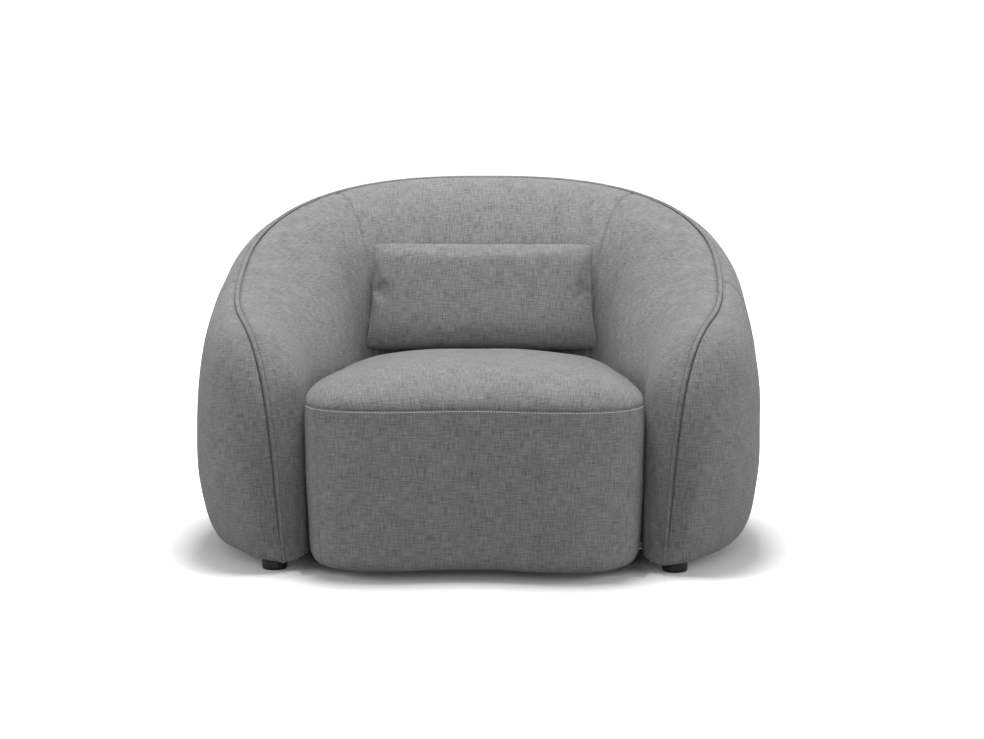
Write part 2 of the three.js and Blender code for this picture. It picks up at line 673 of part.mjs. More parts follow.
// Steel ties join the seat's plate to the shell's, under both.
Object.entries(tieBar.ys).forEach(([place, y]) => {
  const half = wallDistanceAt(y) + foamInset + tieBar.reach;
  const bottom = underside + dustCoverThickness + touchGap;
  const bar = new THREE.BoxGeometry(2 * half, tieBar.width, tieBar.thickness);
  add(`tie_bar_${place}`, bar, steel()).position.set(0, y, bottom + tieBar.thickness / 2);
});

// Depth of the shell's inside face behind the seat, at a distance from the middle.
function wallDepthAt(x) {
  const k = shellWall.findLastIndex((p, i) => i > 0 && p.x < x && shellWall[i - 1].x >= x);
  const [a, b] = [shellWall[k - 1], shellWall[k]];
  return mix(a.y, b.y, (x - a.x) / (b.x - a.x));
}

// Half the width between the shell's inside faces at a depth.
function wallDistanceAt(y) {
  const k = shellWall.findIndex((p, i) => i > 0 && p.y >= y && shellWall[i - 1].y < y);
  const [a, b] = [shellWall[k - 1], shellWall[k]];
  return mix(a.x, b.x, (y - a.y) / (b.y - a.y));
}

// ---------------------------------------------------------------- feet
// Each foot is turned, with a bore and a recess for the screw's head from below.
function footGeometry() {
  const height = underside - touchGap;
  const round = steps(-Math.PI / 2, 0, 3).map((a) => [
    foot.radius - foot.round + foot.round * Math.cos(a), foot.round + foot.round * Math.sin(a),
  ]);
  const profile = [
    [foot.boreRadius, foot.recessDepth], [foot.recessRadius, foot.recessDepth], [foot.recessRadius, 0],
    ...round, [foot.radius, height], [foot.boreRadius, height], [foot.boreRadius, foot.recessDepth],
  ];
  return new THREE.LatheGeometry(profile.map(([r, z]) => new THREE.Vector2(r, z)), 16).rotateX(Math.PI / 2);
}

function screwGeometry() {
  const headTop = foot.recessDepth - touchGap;
  const headFoot = headTop - screw.headHeight;
  const tip = plateTop - screw.tipGap;
  const profile = [
    [0, headFoot], [screw.headRadius, headFoot], [screw.headRadius, headTop], [screw.shankRadius, headTop],
    [screw.shankRadius, tip - screw.chamfer], [screw.shankRadius - screw.chamfer, tip], [0, tip],
  ];
  return new THREE.LatheGeometry(profile.map(([r, z]) => new THREE.Vector2(r, z)), 8).rotateX(Math.PI / 2);
}

Object.entries(footPlaces).forEach(([place, [x, y]]) => {
  [['right', x], ['left', -x]].forEach(([side, px]) => {
    add(`foot_${place}_${side}`, footGeometry(), blackPlastic()).position.set(px, y, 0);
    add(`foot_screw_${place}_${side}`, screwGeometry(), steel()).position.set(px, y, 0);
  });
});

// ---------------------------------------------------------------- lumbar pillow
// In the pillow's own frame X is its width, Y its thickness with the back at +Y, and Z its height.
const wasm = await Module();
wasm.setup();

function toSolid(geometry) {
  const bare = geometry.clone();
  bare.deleteAttribute('normal');
  bare.deleteAttribute('uv');
  const merged = mergeVertices(bare);
  return new wasm.Manifold(new wasm.Mesh({
    numProp: 3, vertProperties: merged.attributes.position.array, triVerts: new Uint32Array(merged.index.array),
  }));
}

function toGeometry(solid) {
  const { vertProperties, triVerts } = solid.getMesh();
  const geometry = new THREE.BufferGeometry();
  geometry.setAttribute('position', new THREE.BufferAttribute(vertProperties, 3));
  geometry.setIndex(new THREE.BufferAttribute(triVerts, 1));
  return geometry;
}

const half = { x: pillow.width / 2, z: pillow.height / 2 };
const cushion = new THREE.Group();
const wedged = wallDepthAt(half.x) + pillow.past;              // its ends between the shell's sides
const leaning = Math.max(...shellWall.map((p) => p.y)) - pillow.clear;  // its back on the middle
cushion.position.set(0, Math.min(wedged, leaning), pillow.z);
cushion.rotation.x = -THREE.MathUtils.degToRad(pillow.tilt);
chair.add(cushion);

function bulge(u, v) {
  const side = clamp01((Math.abs(u) - pillow.flat) / (1 - pillow.flat));
  return (1 - side ** 2) ** 0.7 * Math.sqrt(1 - v ** 4);
}

// A point of the pillow's face: u and v run from -1 to 1 across and up it, way is -1 on the front.
function pillowPoint(u, v, inset, way, lift) {
  const x = u * (half.x - inset) * (1 - pillow.edgeDip * (1 - v ** 2));
  const z = v * (half.z - inset) * (1 - pillow.edgeDip * (1 - u ** 2));
  return new THREE.Vector3(x, way * (lift + (pillow.thickness / 2 - inset) * bulge(u, v)), z);
}
const across = [-1, -0.94, -0.72, -pillow.flat, pillow.flat, 0.72, 0.94, 1];
const zipRows = [zip.level - zip.width, zip.level + zip.width].map((z) => z / half.z);
const upwards = [-1, -0.92, ...zipRows, -0.3, 0.3, 0.7, 0.92, 1];
const pillowFace = (inset, way, lift) =>
  across.map((u) => upwards.map((v) => pillowPoint(u, v, inset, way, lift)));
const lip = seamGap / 2;


// The zip's own frame lies on the back panel, which leans in towards the pillow's lower edge.
const [zipLow, zipHigh] = zipRows.map((v) => pillowPoint(0, v, 0, 1, lip));
const zipFrame = new THREE.Group();
zipFrame.position.copy(zipLow).lerp(zipHigh, 0.5);
const zipLean = Math.atan2(zipLow.y - zipHigh.y, zipHigh.z - zipLow.z);
zipFrame.rotation.x = zipLean;
cushion.add(zipFrame);
zipFrame.updateMatrix();

const panel = (way) => slab(pillowFace(0, way, lip), pillowFace(coverThickness, way, lip));
const zipSlot = new THREE.BoxGeometry(zip.length + 2 * touchGap, zip.cutDepth, zip.width).applyMatrix4(zipFrame.matrix);
add('pillow_cover_front', panel(-1), fabric(), cushion);
add('pillow_cover_back', toGeometry(toSolid(panel(1)).subtract(toSolid(zipSlot))), fabric(), cushion);
const fillingInset = foamInset + zip.thickness;
add('pillow_filling', slab(pillowFace(fillingInset, -1, 0), pillowFace(fillingInset, 1, 0)), wadding(), cushion);
add('zip_chain', new THREE.BoxGeometry(zip.length, zip.thickness, zip.width - 2 * touchGap)
  .translate(0, -zip.thickness / 2 - touchGap, 0), blackPlastic(), zipFrame);

// The slider runs on the chain from its closed end. Its lug stands in the fork of the pull, which
// hangs straight down from it.
const sliderStart = -zip.length / 2 + slider.length;
const sliderFace = touchGap + slider.thickness;
const pivot = new THREE.Vector3(sliderStart, sliderFace + pull.lift + pull.thickness / 2, 0);
const sliderBody = new THREE.BoxGeometry(slider.length, slider.thickness, slider.width)
  .translate(sliderStart, touchGap + slider.thickness / 2, 0);
const lugReach = pivot.y + slider.lug / 2 - touchGap;
const lug = new THREE.BoxGeometry(slider.lugWidth, lugReach, slider.lug)
  .translate(sliderStart, touchGap + lugReach / 2, 0);
add('zip_slider', toGeometry(toSolid(sliderBody).add(toSolid(lug))), steel(), zipFrame);

const pullFrame = new THREE.Group();
pullFrame.position.copy(pivot);
pullFrame.rotation.x = -(zipLean + cushion.rotation.x);
zipFrame.add(pullFrame);
const tine = slider.lugWidth / 2 + touchGap;
const pullEnd = pull.above - pull.length;
const pullOutline = [
  [tine, pull.above], [pull.width / 2, pull.above], [pull.width / 2, pullEnd + pull.taper],
  [pull.width / 2 - pull.taper, pullEnd],
];
const pullShape = new THREE.Shape([
  ...pullOutline, ...pullOutline.map(([x, z]) => [-x, z]).reverse(),
  [-tine, pull.above - pull.slot], [tine, pull.above - pull.slot],
].map(([x, z]) => new THREE.Vector2(x, z)));
add('zip_pull', new THREE.ExtrudeGeometry(pullShape, { depth: pull.thickness, bevelEnabled: false })
  .rotateX(Math.PI / 2).translate(0, pull.thickness / 2, 0), steel(), pullFrame);

// Stand the whole on its origin: the middle of its width and depth, on the floor.
const box = new THREE.Box3().setFromObject(chair);
chair.position.y = -(box.min.y + box.max.y) / 2;

export default chair;
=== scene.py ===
"""Upholstered armchair: a C-shaped padded shell with a piped crest, a sprung seat between its arms
and a loose lumbar pillow with a zipped cover. Metres, +Z up, the sitter faces -Y."""

import bmesh
import bpy
import numpy as np
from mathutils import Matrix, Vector


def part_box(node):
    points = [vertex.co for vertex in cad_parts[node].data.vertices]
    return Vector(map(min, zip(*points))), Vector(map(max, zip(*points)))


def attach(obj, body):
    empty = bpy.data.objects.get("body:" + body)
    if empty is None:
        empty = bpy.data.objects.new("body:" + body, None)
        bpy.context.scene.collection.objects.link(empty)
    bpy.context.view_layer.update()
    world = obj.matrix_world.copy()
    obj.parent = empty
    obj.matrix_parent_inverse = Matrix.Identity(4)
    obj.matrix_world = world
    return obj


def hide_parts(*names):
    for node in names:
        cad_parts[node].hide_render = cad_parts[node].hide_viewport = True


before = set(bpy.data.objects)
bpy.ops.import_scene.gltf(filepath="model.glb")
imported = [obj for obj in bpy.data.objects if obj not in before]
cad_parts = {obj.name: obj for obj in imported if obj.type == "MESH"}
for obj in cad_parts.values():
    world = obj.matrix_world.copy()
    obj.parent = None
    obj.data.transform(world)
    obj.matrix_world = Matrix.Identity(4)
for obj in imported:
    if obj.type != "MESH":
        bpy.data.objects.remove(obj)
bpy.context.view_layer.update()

# ---------------------------------------------------------------- plywood frame
# Birch ply base plates, ribs, top rail, seat rails and glued corner blocks, screwed together.
# Cut from 18 mm sheet: pale faces with long grain, and darker glue lines between the plies.


def finish(name):
    """A new material, its node tree and its surface shader."""
    material = bpy.data.materials.new(name)
    material.use_nodes = True
    return material, material.node_tree, material.node_tree.nodes["Principled BSDF"]


def put(tree, kind, inputs=(), **settings):
    """One shader node. Each input takes a value, or a link from another node's output."""
    made = tree.nodes.new("ShaderNode" + kind)
    for key, value in settings.items():
        setattr(made, key, value)
    for key, value in dict(inputs).items():
        if isinstance(value, bpy.types.NodeSocket):
            tree.links.new(value, made.inputs[key])
        else:
            made.inputs[key].default_value = value
    return made


def reckon(tree, operation, *values):
    """The output of one arithmetic node on the given values or outputs."""
    return put(tree, "Math", enumerate(values), operation=operation).outputs[0]


def fleck(tree, where, stretch, detail=2.0):
    """Noise over a vector, from 0 to 1, whose grain along each axis is stretch metres."""
    placed = put(tree, "Mapping", {"Vector": where, "Scale": [1 / s for s in stretch]})
    return put(tree, "TexNoise", {"Vector": placed.outputs[0], "Scale": 1.0, "Detail": detail}).outputs["Fac"]


def between(tree, share, low, high):
    """A colour between two, by a share from 0 to 1."""
    mixed = put(tree, "Mix", {0: share, 6: (*low, 1), 7: (*high, 1)}, data_type="RGBA")
    return mixed.outputs[2]


def roughen(tree, shader, share, low, high, height, depth):
    """Links roughness between two values, and relief of a depth in metres, to a shader."""
    spread = put(tree, "MapRange", {"Value": share, "To Min": low, "To Max": high}).outputs[0]
    tree.links.new(spread, shader.inputs["Roughness"])
    bump = put(tree, "Bump", {"Height": height, "Distance": depth, "Strength": 0.6})
    tree.links.new(bump.outputs[0], shader.inputs["Normal"])


def dress(material, names):
    """Gives CAD nodes a material."""
    for name in names:
        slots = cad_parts[name].data.materials
        slots.clear()
        slots.append(material)


def named(*starts):
    """The CAD nodes whose names start in one of these ways."""
    return [n for n in sorted(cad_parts) if n.startswith(starts)]


plywood, tree, shader = finish("birch_plywood")
wood = put(tree, "TexCoord").outputs["Object"]
grain = fleck(tree, wood, (0.09, 0.006, 0.09), 6.0)
upright = put(tree, "SeparateXYZ", {0: wood}).outputs["Z"]
plies = reckon(tree, "SINE", reckon(tree, "MULTIPLY", upright, 2094.0))
shade = reckon(tree, "ADD", reckon(tree, "MULTIPLY", grain, 0.85), reckon(tree, "MULTIPLY", plies, 0.12))
tree.links.new(between(tree, shade, (0.33, 0.2, 0.1), (0.68, 0.5, 0.3)), shader.inputs["Base Color"])
roughen(tree, shader, grain, 0.5, 0.75, grain, 0.0004)
dress(plywood, named("seat_base_plate", "shell_base_plate", "rib_", "top_rail", "seat_rail", "corner_block"))

# ---------------------------------------------------------------- hardboard
# Thin brown hardboard bent round the ribs and stapled, smooth outside with a fine woven back.
# It carries the foam inside the shell and the wadding outside it.
hardboard, tree, shader = finish("hardboard")
sheet = put(tree, "TexCoord").outputs["Object"]
fibres = fleck(tree, sheet, (0.003, 0.003, 0.003), 8.0)
tree.links.new(between(tree, fibres, (0.12, 0.07, 0.035), (0.34, 0.22, 0.12)), shader.inputs["Base Color"])
roughen(tree, shader, fibres, 0.55, 0.85, fibres, 0.0003)
dress(hardboard, named("inner_board", "outer_board"))

# ---------------------------------------------------------------- springs, channels, ties and foot screws
# Zigzag springs of 4 mm wire in folded channels, two flat ties under the plates and a screw up
# each foot: zinc-plated steel, with the dull bluish mottle of the plating.
steel, tree, shader = finish("zinc_plated_steel")
metal = put(tree, "TexCoord").outputs["Object"]
mottle = fleck(tree, metal, (0.004, 0.004, 0.004), 5.0)
tree.links.new(between(tree, mottle, (0.4, 0.42, 0.45), (0.68, 0.69, 0.7)), shader.inputs["Base Color"])
shader.inputs["Metallic"].default_value = 1.0
roughen(tree, shader, mottle, 0.28, 0.5, mottle, 0.0001)
dress(steel, named("spring_1", "spring_2", "spring_3", "spring_4", "spring_channel", "tie_bar", "foot_screw"))

# ---------------------------------------------------------------- spring felt
# Grey needled felt of mixed fibres over the springs, under the seat's foam, laid loose.
felt, tree, shader = finish("needled_felt")
mat = put(tree, "TexCoord").outputs["Object"]
fuzz = fleck(tree, mat, (0.002, 0.002, 0.002), 8.0)
tree.links.new(between(tree, fuzz, (0.1, 0.1, 0.11), (0.36, 0.34, 0.32)), shader.inputs["Base Color"])
shader.inputs["Sheen Weight"].default_value = 0.3
roughen(tree, shader, fuzz, 0.9, 1.0, fuzz, 0.0008)
dress(felt, ["spring_felt"])

# ---------------------------------------------------------------- dust covers
# Black spun-bonded cloth stapled under the shell and the seat, pressed with a grid of tiny welds.
dust_cloth, tree, shader = finish("spun_dust_cloth")
under = put(tree, "TexCoord").outputs["Object"]
across = put(tree, "SeparateXYZ", {0: under})
dots = reckon(tree, "MULTIPLY",
              reckon(tree, "SINE", reckon(tree, "MULTIPLY", across.outputs["X"], 3142.0)),
              reckon(tree, "SINE", reckon(tree, "MULTIPLY", across.outputs["Y"], 3142.0)))
specks = fleck(tree, under, (0.0015, 0.0015, 0.0015), 6.0)
lint = reckon(tree, "ADD", reckon(tree, "MULTIPLY", dots, 0.25), specks)
tree.links.new(between(tree, lint, (0.006, 0.006, 0.007), (0.035, 0.035, 0.037)), shader.inputs["Base Color"])
roughen(tree, shader, lint, 0.75, 0.95, lint, 0.0003)
dress(dust_cloth, named("seat_dust_cover", "shell_dust_cover"))

# ---------------------------------------------------------------- feet
# Four turned black plastic glides with a rounded foot, finely textured from the mould and scuffed
# a little all over, each held by its screw.
foot_plastic, tree, shader = finish("moulded_black_plastic")
glide = put(tree, "TexCoord").outputs["Object"]
scuff = fleck(tree, glide, (0.0012, 0.0012, 0.004), 6.0)
black = between(tree, scuff, (0.0015, 0.0015, 0.0018), (0.009, 0.009, 0.010))
tree.links.new(black, shader.inputs["Base Color"])
shader.inputs["Specular IOR Level"].default_value = 0.2
roughen(tree, shader, scuff, 0.3, 0.6, scuff, 0.00015)
dress(foot_plastic, named("foot_front", "foot_rear"))

# ---------------------------------------------------------------- inside of the shell
# Thick foam on the inner hardboard under a tight cover of grey linen-look cloth in three panels:
# one round each arm and one across the back, sewn together and pulled over the crest to the piping.
underside = 0.019
arm_height, back_height = 0.452, 0.733
plan_half, plan_rear, plan_front = 0.480, 0.372, 0.560
end_angle = np.radians(131.0)
inner_seam_share, outer_seam_share = 0.70, 0.31
inward_widths = (0.112, 0.212, 0.192)
outward_widths = (0.084, 0.078, 0.102)
depth_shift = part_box("outer_cover_back")[1].y - 0.474
piping_half = 0.0012
edge_round = 0.006
dart_level = 0.437


def ease(t):
    """Smooth step from 0 to 1, level at both ends: t squared times three less two t."""
    t = np.clip(t, 0, 1)
    return t * t * (3 - 2 * t)


def bow(v, power):
    """A power of a number that keeps the number's sign."""
    return np.sign(v) * np.abs(v) ** power


# The crest line's plan, from an arm's end to the middle of the back: half a superellipse behind and
# part of a longer one in front. Stations are distances along it.
turn = np.linspace(end_angle, 0, 8001)
behind = np.cos(turn) > 0
bend = np.where(behind, 2 / 2.55, 2 / 2.35)
plan = np.stack([plan_half * bow(np.sin(turn), bend),
                 np.where(behind, plan_rear, plan_front) * bow(np.cos(turn), bend)], 1)
stations = np.concatenate([[0], np.cumsum(np.linalg.norm(np.diff(plan, axis=0), axis=1))])
half_length = stations[-1]
heading = np.gradient(plan, axis=0)
heading /= np.linalg.norm(heading, axis=1, keepdims=True)
inner_seam, outer_seam = inner_seam_share * half_length, outer_seam_share * half_length


def closing(distance, length, power):
    """How far an arm's end has opened at a distance from it: a superellipse's rise from 0 to 1."""
    return (1 - np.clip(1 - distance / length, 0, 1) ** power) ** (1 / power)


def along(widths, share, first, second):
    """A width that eases from the arm's end to its side and on to the middle of the back."""
    end, side, back = widths
    return end + (side - end) * ease(share / first) + (back - side) * ease((share - second) / (1 - second))


def section(station, widths, first, second):
    """A section of the shell square to the crest: its place, its outward way, crest height, width,
    how far its width and height have opened, as arrays of one value for each station."""
    place = np.stack([np.interp(station, stations, plan[:, k]) for k in (0, 1)], -1)
    way = np.stack([np.interp(station, stations, heading[:, k]) for k in (0, 1)], -1)
    way /= np.linalg.norm(way, axis=-1, keepdims=True)
    climb = np.clip((place[..., 1] + 0.380) / (plan_rear + 0.380), 0, 1) ** 1.5
    top = arm_height + (back_height - arm_height) * climb
    width = along(widths, station / half_length, first, second) - piping_half
    return (place, np.stack([way[..., 1], -way[..., 0]], -1), top, width,
            closing(station, 0.150, 2.7), closing(station, 0.190, 3.6))


def tucked(z):
    """How far the cloth has turned in at a height near the rounded lower edge: a quarter circle."""
    drop = np.clip(edge_round - (z - underside), 0, None)
    return edge_round - np.sqrt(np.clip(edge_round ** 2 - drop ** 2, 0, None))


def lean_of(station, z, top):
    """How far the arm's end leans inwards at a height: most at its foot, and gone further back."""
    rise = np.clip((z - underside) / (top - underside), 0, 1)
    return 0.030 * (1 - rise) ** 1.3 * (1 - ease(station / 0.260))


def stand(place, way, offset, z):
    """Points at offsets outward from the crest line, at heights."""
    return np.stack([place[..., 0] + offset * way[..., 0],
                     place[..., 1] + offset * way[..., 1] + depth_shift, z], -1)


def inner_face(station, roll, fall):
    """Inside face: from the crest over a superelliptic roll (angle `roll`, a quarter turn at the
    crest) to the shoulder, then straight down the wall (share `fall`) to a rounded lower edge."""
    place, way, top, width, narrow, low = section(station, inward_widths, 0.55, 0.6)
    shoulder = np.minimum(0.300, top - 0.060)
    share = np.cos(roll) ** (2 / 2.1)
    z = shoulder + (top - shoulder) * np.sin(roll) ** (2 / 2.1)
    z = z + (underside - shoulder) * fall
    z = underside + (z - underside) * low
    lean = lean_of(station, z, top)
    reach = width * narrow
    offset = -piping_half - lean - (np.hypot(reach, lean) - lean) * share
    offset = offset + np.minimum(tucked(z), 0.7 * reach * share)
    return stand(place, way, offset, z)


def even_steps(start, end, step, fine=(), offsets=()):
    """Positions a step apart between two ends, closer together either side of the fine places."""
    count = max(int(round((end - start) / step)), 2)
    base = np.linspace(start, end, count + 1)
    near = np.array([f + s * o for f in fine for o in offsets for s in (-1, 1)])
    near = near[(near > start) & (near < end)] if len(near) else near
    clear = [b for b in base if len(near) == 0 or np.abs(near - b).min() > step * 0.3 or b in (start, end)]
    return np.unique(np.concatenate([clear, near]))


# Rows lie at even steps of the crest line's true length, which first climbs the arm's front end.
opening = np.concatenate([0.190 * np.linspace(0, 1, 3001) ** 3.6, np.linspace(0.190, half_length, 3001)[1:]])
_, _, crest_top, _, _, crest_low = section(opening, inward_widths, 0.55, 0.6)
crest_level = underside + (crest_top - underside) * crest_low
crest_run = np.concatenate([[0], np.cumsum(np.hypot(np.diff(opening), np.diff(crest_level)))])
seam_offsets = np.array([0.0006, 0.0014, 0.0024, 0.0036, 0.0052, 0.0072, 0.0096, 0.0126])


def row_stations(first, last, step):
    """Stations of the rows between two stations, at even steps of the crest's length, with closer
    rows beside both ends."""
    start, end = np.interp([first, last], opening, crest_run)
    runs = even_steps(start, end, step, [start, end] if first > 0 else [end], seam_offsets)
    return np.interp(runs, crest_run, opening)


def travel(points, axis):
    """Distance run along the rows or columns of a grid of points."""
    legs = np.linalg.norm(np.diff(points, axis=axis), axis=-1)
    zero = np.zeros_like(np.take(legs, [0], axis=axis))
    return np.concatenate([zero, np.cumsum(legs, axis=axis)], axis=axis)


def facing(points, ring=False, flip=1):
    """Unit normals of a grid: across its rows times along its columns, or the other way for a flip
    of -1. A ring's rows join up."""
    if ring:
        padded = np.concatenate([points[-2:-1], points, points[1:2]])
        down = (padded[2:] - padded[:-2])
    else:
        down = np.gradient(points, axis=0)
    normal = np.cross(down, np.gradient(points, axis=1))
    size = np.linalg.norm(normal, axis=-1, keepdims=True)
    normal = np.where(size > 1e-12, normal / np.maximum(size, 1e-12), 0)
    flat = size[..., 0] <= 1e-12
    return flip * np.where(flat[..., None], np.roll(normal, -1, axis=0), normal)


def slack(a, b, wave, seed, count=9):
    """Soft unevenness of stuffed cloth, about -1 to 1: crossed waves of nearly one length."""
    draw = np.random.default_rng(seed)
    total = np.zeros(np.broadcast(a, b).shape)
    for angle, phase, size in draw.uniform((0, 0, 0.7), (2 * np.pi, 2 * np.pi, 1.6), (count, 3)):
        total += np.sin(2 * np.pi / (wave * size) * (a * np.cos(angle) + b * np.sin(angle)) + phase)
    return total / np.sqrt(count) / 1.2


def sewn(distance, run, seed, depth=0.0030, reach=0.0042):
    """The dip of a panel beside a seam: a narrow valley, with small gathers that fade away from it."""
    gathers = slack(run, 0 * run, 0.022, seed) * 0.0004 * np.exp(-distance / 0.014)
    return -depth * np.exp(-(distance / reach) ** 2) + gathers


def woven_mesh(name, points, faces, threads):
    """A piece from points, quads and the cloth's coordinates at each point. Points in one place are
    joined, faces that shrink to a line are dropped, and all faces are turned outwards."""
    mesh = bpy.data.meshes.new(name)
    mesh.vertices.add(len(points))
    mesh.vertices.foreach_set("co", np.ascontiguousarray(points, dtype=np.float32).ravel())
    mesh.loops.add(faces.size)
    mesh.loops.foreach_set("vertex_index", np.ascontiguousarray(faces, dtype=np.int32).ravel())
    mesh.polygons.add(len(faces))
    mesh.polygons.foreach_set("loop_start", np.arange(0, faces.size, 4, dtype=np.int32))
    mesh.update(calc_edges=True)
    layer = mesh.uv_layers.new(name="threads")
    layer.uv.foreach_set("vector", threads[faces.ravel()].astype(np.float32).ravel())
    work = bmesh.new()
    work.from_mesh(mesh)
    bmesh.ops.remove_doubles(work, verts=work.verts, dist=2e-6)
    bmesh.ops.dissolve_degenerate(work, edges=work.edges, dist=1e-7)
    bmesh.ops.recalc_face_normals(work, faces=work.faces)
    work.to_mesh(mesh)
    work.free()
    mesh.polygons.foreach_set("use_smooth", np.ones(len(mesh.polygons), bool))
    piece = bpy.data.objects.new(name, mesh)
    bpy.context.scene.collection.objects.link(piece)
    return piece


def pad(name, face, threads, thickness, ring=False, mirrored=False, flip=1):
    """A closed pad: the face is a grid of points, its back is the same grid moved in along the
    normals by the thickness, and a band of faces joins the two round the border. Threads are the
    cloth's own coordinates in metres. A ring's last row is its first row again."""
    rows, columns = face.shape[:2]
    normal = facing(face, ring, flip)
    if ring and np.ptp(face[:, -1], axis=0).max() < 1e-6:
        normal[:, -1] = (0, 0, 1)
    back = face - normal * thickness[..., None]
    points = np.concatenate([face.reshape(-1, 3), back.reshape(-1, 3)])
    if mirrored:
        points = points * (-1, 1, 1)
    index = np.arange(rows * columns).reshape(rows, columns)
    quads = np.stack([index[:-1, :-1], index[1:, :-1], index[1:, 1:], index[:-1, 1:]], -1).reshape(-1, 4)
    under = quads[:, ::-1] + rows * columns
    edges = [index[:, 0], index[::-1, -1]] if ring else [
        index[0, ::-1], index[:, 0], index[-1, :], index[::-1, -1]]
    rims = [np.stack([e[1:], e[:-1], e[:-1] + rows * columns, e[1:] + rows * columns], -1) for e in edges]
    faces = np.concatenate([quads, under, *rims])
    return woven_mesh(name, points, faces, np.concatenate([threads.reshape(-1, 2)] * 2))


def linen(name, dark, light, slub=1.0):
    """Plain-woven linen-look cloth. Colour: mottled yarns, with slubs that run along the warp and
    the weft, and slow drifts of shade. Relief: over-and-under threads, and the slubs."""
    material, tree, shader = finish(name)
    cloth = put(tree, "UVMap", uv_map="threads").outputs[0]
    warp = fleck(tree, cloth, (0.0021, 0.024, 1.0), 2.0)
    weft = fleck(tree, cloth, (0.024, 0.0021, 1.0), 2.0)
    yarn = fleck(tree, cloth, (0.0011, 0.0011, 1.0), 2.0)
    drift = fleck(tree, cloth, (0.045, 0.045, 1.0), 3.0)
    tint = fleck(tree, cloth, (0.028, 0.028, 1.0), 3.0)
    pitch = put(tree, "SeparateXYZ", {0: cloth})
    over = [reckon(tree, "SINE", reckon(tree, "MULTIPLY", pitch.outputs[k], np.pi / 0.0011)) for k in (0, 1)]
    weave = reckon(tree, "MULTIPLY", *over)
    parts = [(warp, slub), (weft, slub), (yarn, 0.60), (drift, 0.30), (weave, 0.06)]
    share = 0.5 - sum(weight / 2 for _, weight in parts[:4])
    for output, weight in parts:
        share = reckon(tree, "ADD", reckon(tree, "MULTIPLY", output, weight), share)
    share = put(tree, "Clamp", {0: share}).outputs[0]
    grey = between(tree, share, dark, light)
    warm = reckon(tree, "MULTIPLY", reckon(tree, "SUBTRACT", tint, 0.35), 0.5)
    warm = put(tree, "Clamp", {0: warm}).outputs[0]
    worn = put(tree, "Mix", {0: warm, 6: grey, 7: (0.198, 0.191, 0.205, 1)}, data_type="RGBA").outputs[2]
    tree.links.new(worn, shader.inputs["Base Color"])
    relief = reckon(tree, "ADD", reckon(tree, "MULTIPLY", weave, 0.35),
                    reckon(tree, "ADD", warp, reckon(tree, "ADD", weft, yarn)))
    shader.inputs["Sheen Weight"].default_value = 0.12
    shader.inputs["Sheen Roughness"].default_value = 0.5
    shader.inputs["Specular IOR Level"].default_value = 0.25
    roughen(tree, shader, share, 0.82, 0.97, relief, 0.0006)
    return material


cover_cloth = linen("grey_linen_cloth", (0.046, 0.047, 0.043), (0.290, 0.295, 0.277))

# Columns: close together beside the piping, then even over the roll, then down the wall.
crest_gaps = np.array([0, 0.0006, 0.0013, 0.0022, 0.0033, 0.0047, 0.0064, 0.0085, 0.011, 0.014, 0.0175])
roll_start = np.arccos((crest_gaps / 0.200) ** (2.1 / 2))
roll_turns = np.concatenate([roll_start, np.linspace(roll_start[-1], 0, 66)[1:]])
foot_falls = 1 - np.array([0.026, 0.019, 0.0125, 0.007, 0.003, 0.0])
wall_fall = np.concatenate([np.linspace(0, 0.965, 52)[1:], foot_falls])
inner_rolls = np.concatenate([roll_turns, np.zeros(len(wall_fall))])[None, :]
inner_falls = np.concatenate([np.zeros(len(roll_turns)), wall_fall])[None, :]


def cloth_coordinates(points, station, share_across, full):
    """Threads that follow the wall: along it, round the arm's end, and up it and over the crest."""
    reach = full * closing(station, 0.150, 2.7)
    swing = np.concatenate([[0], np.cumsum(np.hypot(np.diff(station[:, 0]), np.diff(reach[:, 0])))])[:, None]
    far = ease(station / 0.250)
    u = swing - (1 - share_across) * reach * (1 - far)
    run = travel(points, 1)
    v = points[..., 2] + (run[:, -1:] - run + underside - points[..., 2]) * far
    return np.stack([np.broadcast_to(u, v.shape), v], -1)


def dart(points, at, across, depth=0.0022, width=0.0035, length=0.040):
    """A short sewn dart: a groove that runs from a point along a direction and fades out."""
    away = points - np.array(at)
    run = away @ np.array(across)
    off = np.linalg.norm(away - run[..., None] * np.array(across), axis=-1)
    fade = np.clip(1 - run / length, 0, 1) ** 0.7 * (run > -0.004)
    return -depth * np.exp(-(off / width) ** 2) * fade


